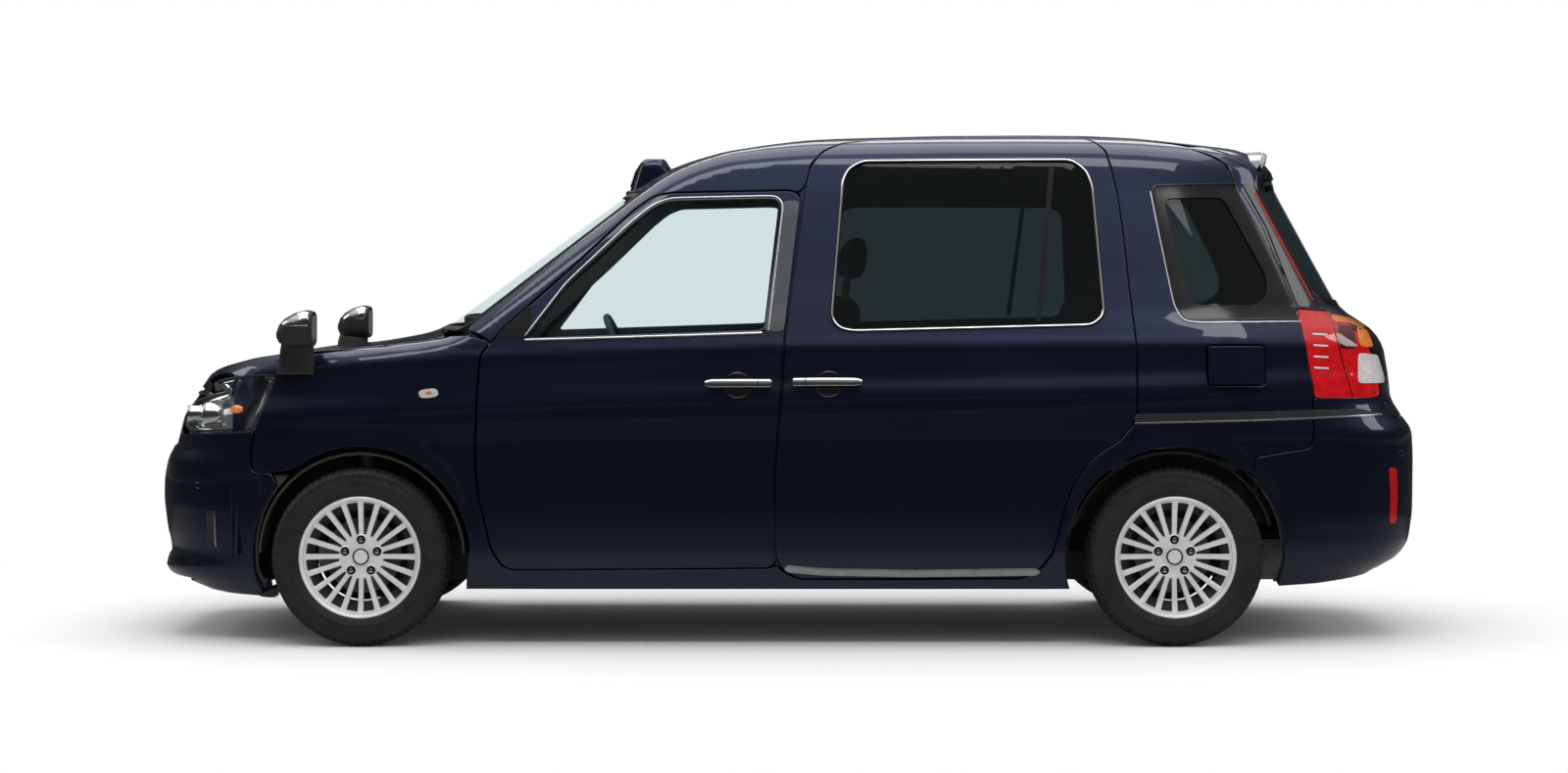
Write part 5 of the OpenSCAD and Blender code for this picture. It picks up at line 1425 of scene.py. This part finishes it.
def sign_face(name, x0, x1, out):
    """The pale panel on the front or the back of the sign lamp, left blank."""
    rows = []
    for grow, d in ((0, 0.0), (0, out * 0.7), (-1.5, out), (-3, out)):
        t = oval((0, 0), 176 + grow, 34 + grow, 48, 8.0)
        z = t[:, 1] + 1600
        rows.append(np.stack([x0 + (x1 - x0) * (z - 1560) / 80 + d, t[:, 0], z], 1))
    made = loft(name, rows, milk)
    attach(made, "body")


milk = surface("milk_panel", (0.62, 0.63, 0.62), (0.68, 0.69, 0.68), 40, (0.2, 0.28), Coat_Weight=0.5)
sign_face("sign_panel_front", -558.5, -533.0, -3.0)
sign_face("sign_panel_back", -409.0, -411.0, 3.0)

# %% Fender mirrors
def mirror_on_fender():
    """The left mirror: shell, chrome upper half, glass and foot."""
    cap, shell, glass, stalk = [], [], [], []
    for x, y0, y1, z0, z1, power in ((-1722, -815, -765, 1040, 1064, 2.4),
                                     (-1713, -840, -738, 1024, 1084, 2.6),
                                     (-1692, -856, -716, 1013, 1106, 3.0),
                                     (-1660, -861, -709, 1009, 1124, 3.2),
                                     (-1625, -862, -707, 1010, 1133, 3.8),
                                     (-1602, -861, -708, 1012, 1131, 4.0),
                                     (-1598, -857, -712, 1016, 1127, 4.0),
                                     (-1603, -853, -716, 1020, 1123, 4.0)):
        q = oval(((y0 + y1) / 2, (z0 + z1) / 2), (y1 - y0) / 2, (z1 - z0) / 2, 64, power)
        shell.append(np.stack([0 * q[:, 0] + x, q[:, 0], q[:, 1]], 1))
    body = loft("shell", shell, black)
    for x, grow in ((-1598.6, -9), (-1600.5, -9), (-1600.5, -11)):
        q = oval((-784.5, 1071.5), 71.5 + grow, 54.5 + grow, 64, 4.0)
        glass.append(np.stack([0 * q[:, 0] + x + 0.5, q[:, 0], q[:, 1]], 1))
    mirror_glass = loft("mirror_glass", glass, chrome)
    upper = bmesh.new()
    upper.from_mesh(body.data)
    everything = upper.verts[:] + upper.edges[:] + upper.faces[:]
    bmesh.ops.bisect_plane(upper, geom=everything, plane_co=(0, 0, 1.082),
                           plane_no=(0, 0, 1), clear_inner=True)
    everything = upper.verts[:] + upper.edges[:] + upper.faces[:]
    bmesh.ops.bisect_plane(upper, geom=everything, plane_co=(-1.609, 0, 1.0),
                           plane_no=(1, 0, 0), clear_outer=True)
    top = bpy.data.meshes.new("mirror_top")
    upper.to_mesh(top)
    upper.free()
    top.materials.append(chrome)
    cap_piece = bpy.data.objects.new("mirror_top", top)
    scene.collection.objects.link(cap_piece)
    grow = cap_piece.modifiers.new("wall", "SOLIDIFY")
    grow.thickness, grow.offset, grow.use_even_offset = 0.0016, 1.0, True
    bpy.context.view_layer.update()
    graph = bpy.context.evaluated_depsgraph_get()
    cap_piece.data = bpy.data.meshes.new_from_object(cap_piece.evaluated_get(graph))
    cap_piece.modifiers.clear()
    base = form_top(-1655, -743)
    for z, hx, hy, cx, cy in ((base - 4, 67, 28, -1666, -743), (base + 5, 67, 27, -1665, -743),
                              (base + 16, 62, 26, -1664, -744), (1000, 57, 26, -1661, -748),
                              (1018, 55, 28, -1659, -756), (1034, 52, 28, -1657, -762)):
        q = oval((cx, cy), hx, hy, 40, 2.4)
        stalk.append(np.stack([q[:, 0], q[:, 1], 0 * q[:, 0] + z], 1))
    return [body, cap_piece, mirror_glass, loft("stalk", stalk, black)]


def form_top(x, y):
    """The height of the form's upper side at a place."""
    return float(view_top(np.array([[x, y]], float))[0][0, 2])


mirror_left = joined("fender_mirror_left", mirror_on_fender(), "body")
mirror_right = twin(mirror_left, "fender_mirror_right")
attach(mirror_right, "body")
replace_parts(mirror_left, "fender_mirrors")

# %% Spoiler, roof knob and brake lamp
def spoiler():
    """A thin pale wedge across the tailgate's upper edge, rounded down at its ends."""
    rows = []
    for y in np.linspace(-440, 440, 33):
        edge = 1 - abs(y / 440) ** 6
        top = form_top(1608, y)
        back_z = 1686 - (form_top(1608, 0) - top) * 0.9 - 10 * (1 - edge)
        back = 1702 - 30 * (1 - edge) - abs(y / 440) ** 2 * 18
        points = [(1611, top - 1), (1640, top + 1), ((1640 + back) / 2, (top + back_z) / 2 + 4),
                  (back - 6, back_z), (back, back_z - 5), (back - 6, back_z - 22 - 18 * edge),
                  (back - 22, back_z - 26 - 26 * edge), (1650, back_z - 28 - 26 * edge),
                  (1632, back_z - 24), (1613, top - 14)]
        rows.append(np.array([(x, y, z) for x, z in points]))
    return loft("tail_spoiler", rows, pale)


pale = surface("pale_trim", (0.50, 0.51, 0.53), (0.55, 0.56, 0.58), 20, (0.3, 0.4), 0.02, Metallic=0.3,
               Coat_Weight=0.6)
made = spoiler()
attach(made, "tailgate")
spot, out = view_back(np.array([[0.0, 1562.0]]))
knob = turned("tail_knob", [(0.5, -4), (12, -4), (12, 14), (9, 24), (0.5, 26)], black, 32)
knob_turn = Vector((0, 1, 0)).rotation_difference(Vector(out[0]))
knob.data.transform(Matrix.Translation(spot[0] * MM) @ knob_turn.to_matrix().to_4x4())
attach(knob, "tailgate")
print("sign lamp, mirrors and spoiler made")

# %% [markdown]
# ## Nose and tail details
# The grille is a set of horizontal bars in a dark frame, the intake a mesh of small cells, and
# the plates are blank pressed sheets on their holders.

# %% Grille, intake and plates
def bar_across(name, y_half, z, high, deep, finish, lean=0.0):
    """A horizontal bar that follows the nose from side to side."""
    rows = []
    for y in np.linspace(-y_half, y_half, 25):
        p, n = view_front(np.array([[y, z]], float))
        x = p[0, 0] + 10 + abs(y / y_half) ** 2 * 4
        rows.append(np.array([(x + dx, y, z + dz) for dx, dz in ((0, 0), (2, high * 0.45),
                (deep, high * 0.5), (deep, -high * 0.5), (2, -high * 0.45))]))
    return loft(name, rows, finish)


bars = [bar_across("bar", 462, z, 11, 26, gloss) for z in range(682, 826, 24)]
bars += [bar_across("bar", 464, 835, 9, 30, chrome), bar_across("bar", 464, 666, 9, 30, chrome)]
grille = joined("grille_bars", bars, "body")
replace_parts(grille, "grille")


def mesh_cell():
    """One upright bar of the lower intake, to be repeated across it."""
    return loft("cell", [np.array([(dx, dy, z) for dx, dy in ((0, -2.5), (0, 2.5), (16, 2.5), (16, -2.5))])
                         for z in (288, 352)], black)


intake = copied(mesh_cell(), 29, step=(0, 30 * MM, 0))
p, _ = view_front(np.stack([np.clip(np.array([v.co.y for v in intake.data.vertices]) / MM - 420, -425, 425),
                            np.full(len(intake.data.vertices), 320.0)], 1))
for v, q in zip(intake.data.vertices, p):
    v.co = (v.co.x + (q[0] + 16) * MM, v.co.y - 420 * MM, v.co.z)
rows = [bar_across("row", 426, z, 4, 16, black) for z in (302, 320, 338)]
intake = joined("intake_mesh", [intake] + rows, "body")

white_plate = surface("blank_plate", (0.72, 0.73, 0.72), (0.76, 0.77, 0.76), 30, (0.3, 0.38), 0.03)


def blank_plate(name, x, z, out, body, width=165, height=82.5):
    """A pressed sheet with a raised border and nothing on it."""
    rows = []
    for grow, d in ((0, 0.0), (0, 1.6), (-1.5, 2.4), (-4, 2.4), (-6, 1.4), (-8, 1.4)):
        q = oval((0, 0), width + grow, height + grow, 64, 14.0)
        rows.append(np.stack([0 * q[:, 0] + x + out * d, q[:, 0], q[:, 1] + z], 1))
    made = loft(name, rows, white_plate)
    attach(made, body)


front_box, rear_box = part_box("front_plate_holder"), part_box("rear_plate_holder")
blank_plate("front_plate", front_box[0][0] / MM - 0.2, 470, -1, "body")
blank_plate("rear_plate", rear_box[1][0] / MM, 930, 1, "tailgate")
print("plate holders at", front_box[0][0], rear_box[1][0])

# %% [markdown]
# ## Seats
# A seat pad is a closed cover blown up over its foam. Each pad starts as a slightly small
# lofted block in the space of its frame node, is remeshed evenly, and is then inflated as
# cloth for a few frames with a cap on how far it may move. Seams are pressed in afterwards,
# because remeshing would wipe them out.

# %% Seat cloth
def weave(w):
    """A fine woven pattern for the seat cloth."""
    where = w.node("ShaderNodeSeparateXYZ", Vector=w.node("ShaderNodeTexCoord", out=3))
    tree = w.tree
    parts = [Wire(tree, where.socket.node.outputs[i]) for i in range(3)]
    return ((parts[0] + parts[2]) * 1700.0).sine() * ((parts[1]) * 1700.0).sine() * 0.35


cloth = surface("seat_cloth", (0.035, 0.037, 0.045), (0.055, 0.057, 0.066), 40, (0.82, 0.95), 0.2, 1400,
                bands=weave, Sheen_Weight=0.3)


def places(obj):
    """The object's points as an array."""
    flat = np.empty(len(obj.data.vertices) * 3)
    obj.data.vertices.foreach_get("co", flat)
    return flat.reshape(-1, 3)


def place_at(obj, p):
    """Moves the object's points to the array's places."""
    obj.data.vertices.foreach_set("co", np.asarray(p, float).ravel())
    obj.data.update()


def pad(name, profile, y0, y1, shrink=9.0, voxel=9.0, seams=(), cap=22.0):
    """A padded piece from an X-Z profile and its two ends in Y."""
    base = even(np.array(profile, float), 16.0, 10.0)
    middle = base.mean(0)
    rings = []
    for t in (0.0, 0.03, 0.1, 0.3, 0.5, 0.7, 0.9, 0.97, 1.0):
        ends = min(t, 1 - t)
        tight = shrink + 16 * max(0, 1 - ends / 0.1) ** 2
        ring = outset(base if area(base) > 0 else base[::-1], -tight)
        y = y0 + shrink + (y1 - y0 - 2 * shrink) * t
        rings.append(np.stack([ring[:, 0], 0 * ring[:, 0] + y, ring[:, 1]], 1))
    obj = loft(name, rings, cloth)
    obj.data.remesh_voxel_size = voxel * MM
    mesh_rule = obj.modifiers.new("even", "REMESH")
    mesh_rule.mode, mesh_rule.voxel_size, mesh_rule.use_smooth_shade = "VOXEL", voxel * MM, True
    bpy.context.view_layer.update()
    obj.data = bpy.data.meshes.new_from_object(obj.evaluated_get(bpy.context.evaluated_depsgraph_get()))
    obj.modifiers.clear()
    if not obj.data.materials:
        obj.data.materials.append(cloth)
    start = places(obj)
    blow = obj.modifiers.new("cover", "CLOTH")
    blow.settings.use_pressure = True
    blow.settings.uniform_pressure_force = 4.0
    blow.settings.effector_weights.gravity = 0.0
    blow.point_cache.frame_start, blow.point_cache.frame_end = 1, 20
    for frame_number in range(1, 21):
        scene.frame_set(frame_number)
    end = places(obj.evaluated_get(bpy.context.evaluated_depsgraph_get()))
    obj.modifiers.clear()
    scene.frame_set(1)
    move = end - start
    far = np.linalg.norm(move, axis=1, keepdims=True)
    end = start + move * np.minimum(1.0, cap * MM / np.maximum(far, 1e-9))
    place_at(obj, end)
    fine = obj.modifiers.new("fine", "SUBSURF")
    fine.levels = fine.render_levels = 1
    bpy.context.view_layer.update()
    obj.data = bpy.data.meshes.new_from_object(obj.evaluated_get(bpy.context.evaluated_depsgraph_get()))
    obj.modifiers.clear()
    press(obj, seams)
    obj.data.shade_smooth()
    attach(obj, "body")
    return obj


def press(obj, seams, wide=5.0, deep=5.0):
    """Grooves across a pad, each at a place along one axis."""
    p = places(obj)
    outward = np.array([v.vector for v in obj.data.vertex_normals])
    for axis, place in seams:
        off = (p[:, axis] / MM - place) / wide
        p -= outward * (deep * MM * np.exp(-off * off))[:, None]
    place_at(obj, p)


def second(obj, name):
    other = twin(obj, name)
    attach(other, "body")
    return other


SEAT_Y = 350
front_pads = [pad("front_cushion", [(-452, 600), (-452, 640), (-425, 660), (-350, 655), (40, 620),
                                    (44, 566), (-430, 566)], SEAT_Y - 250, SEAT_Y + 250,
                  seams=((1, SEAT_Y - 150), (1, SEAT_Y + 150), (0, -180))),
              pad("front_backrest", [(6, 602), (56, 575), (118, 606), (258, 1178), (235, 1202), (182, 1202),
                                     (162, 1178)], SEAT_Y - 240, SEAT_Y + 240,
                  seams=((1, SEAT_Y - 140), (1, SEAT_Y + 140), (2, 900))),
              pad("front_headrest", [(184, 1242), (260, 1232), (286, 1368), (266, 1390), (226, 1392),
                                     (207, 1374)], SEAT_Y - 135, SEAT_Y + 135, 7, 7, cap=12), ]
for obj in front_pads:
    second(obj, obj.name + "_left")
    obj.name += "_right"
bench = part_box("rear_seat")
edge = bench[0][0] / MM + 505
rear_pads = [pad("bench_cushion", [(edge - 502, 600), (edge - 502, 640), (edge - 470, 658),
                                   (edge - 60, 630), (edge - 14, 600), (edge - 14, 546), (edge - 480, 546)],
                 -540, 540, voxel=11, seams=((1, -190), (1, 190), (0, edge - 240))),
             pad("bench_backrest", [(edge - 66, 640), (edge - 16, 600), (edge - 8, 640), (edge + 66, 780),
                                    (edge + 186, 1178), (edge + 163, 1203), (edge + 112, 1203),
                                    (edge + 92, 1178)], -540, 540, voxel=11,
                 seams=((1, -190), (1, 190), (2, 930))),
             pad("rear_headrest", [(edge + 114, 1204), (edge + 186, 1194), (edge + 212, 1328),
                                   (edge + 194, 1347), (edge + 152, 1349), (edge + 133, 1333)], 200, 460, 7,
                 7, cap=12), ]
second(rear_pads[2], "rear_headrest_left")
rear_pads[2].name = "rear_headrest_right"
print("pads:", len(front_pads) * 2 + len(rear_pads) + 1)


# %% Seat frames
def block(name, x0, x1, y0, y1, z0, z1, finish, r=18):
    rings = []
    for z, d in ((z0, 3), (z0 + 3, 0), (z1 - 3, 0), (z1, 3)):
        q = oval(((x0 + x1) / 2, (y0 + y1) / 2), (x1 - x0) / 2 - d, (y1 - y0) / 2 - d, 48, 10.0)
        rings.append(np.stack([q[:, 0], q[:, 1], 0 * q[:, 0] + z], 1))
    return loft(name, rings, finish)


def rod(x0, z0, x1, z1, y, r, finish):
    t = np.linspace(0, 2 * math.pi, 16, endpoint=False)
    return loft("rod", [np.stack([x + r * np.cos(t), y + r * np.sin(t), 0 * t + z], 1)
                        for x, z in ((x0, z0), (x1, z1))], finish)


floor_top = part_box("front_seats")[0][2] / MM
bases = []
for hand in (-1, 1):
    y = hand * SEAT_Y
    bases += [block("base", -390, 20, y - 196, y + 196, floor_top + 2, 566, black)]
    bases += [rod(208, 1180, 220, 1250, y + d, 6.5, steel) for d in (-55, 55)]
bases += [block("bench_base", edge - 420, edge - 20, -478, 478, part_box("rear_seat")[0][2] / MM + 2, 545,
                black)]
seat_frame = joined("seat_frames", bases, "body")
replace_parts(seat_frame, "front_seats", "rear_seat")

# %% [markdown]
# ## Dashboard and steering wheel
# The dashboard is a padded shelf with a hood over the dials on the driver's side, the right
# one, a blank screen in the middle and round vents. The steering wheel is a ring with three
# spokes and a plain hub.

# %% Dashboard
def dashboard():
    low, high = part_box("dashboard")
    face, front = high[0] / MM, low[0] / MM
    parts, rings = [], []
    for y in np.linspace(-634, 634, 41):
        hood = 26 * math.exp(-((y - SEAT_Y) / 150) ** 4)
        tuck = 10 * (abs(y / 634) ** 12)
        rings.append(np.array([(front + 4, y, 700), (front + 4, y, 962), (-1200 + 60, y, 992),
                               (-1010, y, 1008), (-930, y, 1014 - tuck),
                               (-858, y, 1012 - tuck + hood * 0.2), (face - 60 - tuck, y, 984 + hood),
                               (face - 26 - tuck, y, 970 + hood), (face - 24 - tuck, y, 962 + hood * 0.8),
                               (face - 62, y, 940), (face - 30 - tuck, y, 900), (face - 24 - tuck, y, 780),
                               (face - 60, y, 746), (-850, y, 700)]))
    parts.append(loft("shelf", rings, soft_black))
    parts.append(block("console", front + 30, -868, -125, 125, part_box("dashboard")[0][2] / MM + 2, 702,
                       black))
    screen = [np.array([(face - 24 + d, y * s, z0 + (z - z0) * s)
                        for y, z in ((-112, 812), (112, 812), (112, 938), (-112, 938))])
              for d, s, z0 in ((-6, 1.0, 875), (0, 1.0, 875), (2, 0.97, 875))]
    parts.append(loft("screen", screen, gloss))
    t = THIRTY
    for y in (-560, -240, 200, 560):
        vent = [np.stack([0 * t + face - 24 + d, y + r * np.cos(t), 872 + r * np.sin(t)], 1)
                for r, d in ((40, -8), (40, 3), (37, 4.5), (34, 2), (33, -4), (8, -5), (7, -2), (1, -1.5))]
        parts.append(loft("vent", vent, gloss))
    made = joined("dashboard_shelf", parts, "body")
    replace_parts(made, "dashboard")


soft_black = surface("soft_black", (0.020, 0.020, 0.021), (0.028, 0.028, 0.029), 16, (0.62, 0.75), 0.35,
                     700)
dashboard()


def steering():
    ring, spokes = [], []
    t = np.linspace(0, 2 * math.pi, 18, endpoint=False)
    m, n = len(t), 72
    pts = [((185 + 13.0 * math.cos(a)) * math.cos(b), (185 + 13.0 * math.cos(a)) * math.sin(b),
            13.5 * math.sin(a)) for b in np.linspace(0, 2 * math.pi, n, endpoint=False) for a in t]
    faces = [[i * m + a, i * m + (a + 1) % m, (i + 1) % n * m + (a + 1) % m, (i + 1) % n * m + a]
             for i in range(n) for a in range(m)]
    ring = tidy(plain("ring", pts, faces, soft_black), 60)
    parts = [ring]
    for angle in (-20, 90, 200):
        a = math.radians(angle - 90)
        rows = []
        for r, half, mid in ((38, 30, 4), (70, 22, 0), (130, 15, -2), (180, 17, 0)):
            q = oval((0, mid), half, 8 if r < 150 else 9, 20, 3.4)
            rows.append(np.stack([0 * q[:, 0] + r, q[:, 0], q[:, 1]], 1) @ np.array(
                [[math.cos(a), math.sin(a), 0], [-math.sin(a), math.cos(a), 0], [0, 0, 1]]))
        parts.append(loft("arm", rows, satin if angle == 90 else black))
    hub = [np.stack([r * np.cos(THIRTY), r * 0.9 * np.sin(THIRTY), 0 * THIRTY + d], 1)
           for r, d in ((46, -17), (54, -14), (58, 2), (54, 12), (40, 17), (10, 18), (1, 18))]
    parts.append(loft("pad", hub, black))
    column = [np.stack([r * np.cos(THIRTY), r * np.sin(THIRTY), 0 * THIRTY + d], 1)
              for r, d in ((25, -240), (30, -140), (38, -60), (34, -18))]
    parts.append(loft("column", column, black))
    turn = Matrix.Translation((-0.590, 0.350, 0.928)) @ Matrix.Rotation(math.radians(65), 4, "Y")
    for p in parts:
        p.data.transform(turn)
    made = joined("steering_ring", parts, "body")
    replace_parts(made, "steering_wheel")


steering()
print("cabin furnished")

# %% Splash guards behind the wheels
guard_y, guard_half, guard_low, guard_top = 468, 3, 196, 560
guard_spans = ((-1840, -1640), (-1250, -1064), (960, 1130), (1500, 1600))
guards = [block("guard", x0, x1, hand * guard_y - guard_half, hand * guard_y + guard_half,
                guard_low, guard_top, black)
          for hand in (-1, 1) for x0, x1 in guard_spans]
joined("splash_guards", guards, "body")
print("guards:", len(guards))

# %% [markdown]
# ## Which piece stands for which node
# What lies under the skin is kept as a copy, pressed inwards to stay below the finer surface.

# %% Structure under the skin
def under_skin(node, finish, body, below=13.0):
    """A merged copy of a node, with everything near the skin pushed below it."""
    bm = bmesh.new()
    bm.from_mesh(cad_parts[node].data)
    bmesh.ops.remove_doubles(bm, verts=bm.verts, dist=2e-5)
    p = np.array([v.co for v in bm.verts]) / MM
    for _ in range(2):
        high = form(*p.T) + below
        p = p - slope_of(p) * np.maximum(high, 0)[:, None]
    for v, q in zip(bm.verts, p * MM):
        v.co = q
    bm.normal_update()
    middle = np.array([f.calc_center_median() for f in bm.faces]) / MM
    facing = np.sum(np.array([f.normal for f in bm.faces]) * slope_of(middle), 1)
    for f, share in zip(bm.faces, facing):
        f.material_index = int(share < -0.3)
    mesh = bpy.data.meshes.new("inner_" + node)
    bm.to_mesh(mesh)
    bm.free()
    mesh.materials.append(finish)
    mesh.materials.append(lining)
    obj = bpy.data.objects.new("inner_" + node, mesh)
    scene.collection.objects.link(obj)
    smooth_by_angle(obj, 30)
    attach(obj, body)
    return obj


lining = surface("cabin_lining", (0.045, 0.045, 0.048), (0.06, 0.06, 0.062), 12, (0.6, 0.75), 0.3, 500)

stand_in = {"body_side_left": ("side_frame_left", "body"), "body_side_right": ("side_frame_right", "body"),
            "fender_left": ("fender_skin_left", "body"), "fender_right": ("fender_skin_right", "body"),
            "front_door_left": ("front_door_skin_left", "front_door_left"),
            "front_door_right": ("front_door_skin_right", "front_door_right"),
            "sliding_door": ("sliding_door_skin", "body"),
            "rear_door_right": ("rear_door_skin", "rear_door_right"), "roof_panel": ("roof_skin", "body"),
            "hood": ("hood_skin", "hood"), "tailgate": ("tailgate_skin", "tailgate"),
            "front_bumper": ("front_bumper_skin", "body"), "rear_bumper": ("rear_bumper_skin", "body"), }
for node, (piece, body) in stand_in.items():
    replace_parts(bpy.data.objects[piece], node)
    bumper = "bumper" in node
    if "fender" not in node:
        under_skin(node, black if bumper else navy, body, 24.0 if bumper else 13.0)
for node, piece in {"windscreen": "windscreen_pane", "front_glass_left": "front_door_pane_left",
                    "front_glass_right": "front_door_pane_right", "rear_glass_right": "rear_door_pane",
                    "tailgate_glass": "tailgate_pane", "side_glass": "sliding_door_pane"}.items():
    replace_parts(bpy.data.objects[piece], node)
hinge_depth = 3.0
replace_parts(under_skin("door_hinges", steel, "body", hinge_depth), "door_hinges")
print("nodes replaced:", len(stand_in) + 7)

# %% [markdown]
# ## The rest of the frame
# What stays as the frame made it still needs its finish: dull black paint below, bare steel
# and cast metal where a real car leaves them so.

# %% Finishes of the frame's nodes
own = {"engine_block": alloy, "knuckle_left": alloy, "knuckle_right": alloy, "exhaust": steel,
       "door_hinges": steel, "lid_hinges": steel, "front_subframe": under, "rear_axle": under,
       "floor_pan": under, "firewall": black, "front_plate_holder": black, "rear_plate_holder": black,
       "fuel_lid": navy}
for node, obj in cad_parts.items():
    finish = own.get(node, navy if node in stand_in else black)
    for glass in ("glass", "windscreen"):
        finish = clear if glass in node else finish
    obj.data.materials.clear()
    obj.data.materials.append(finish)
print("frame nodes finished:", len(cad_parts))
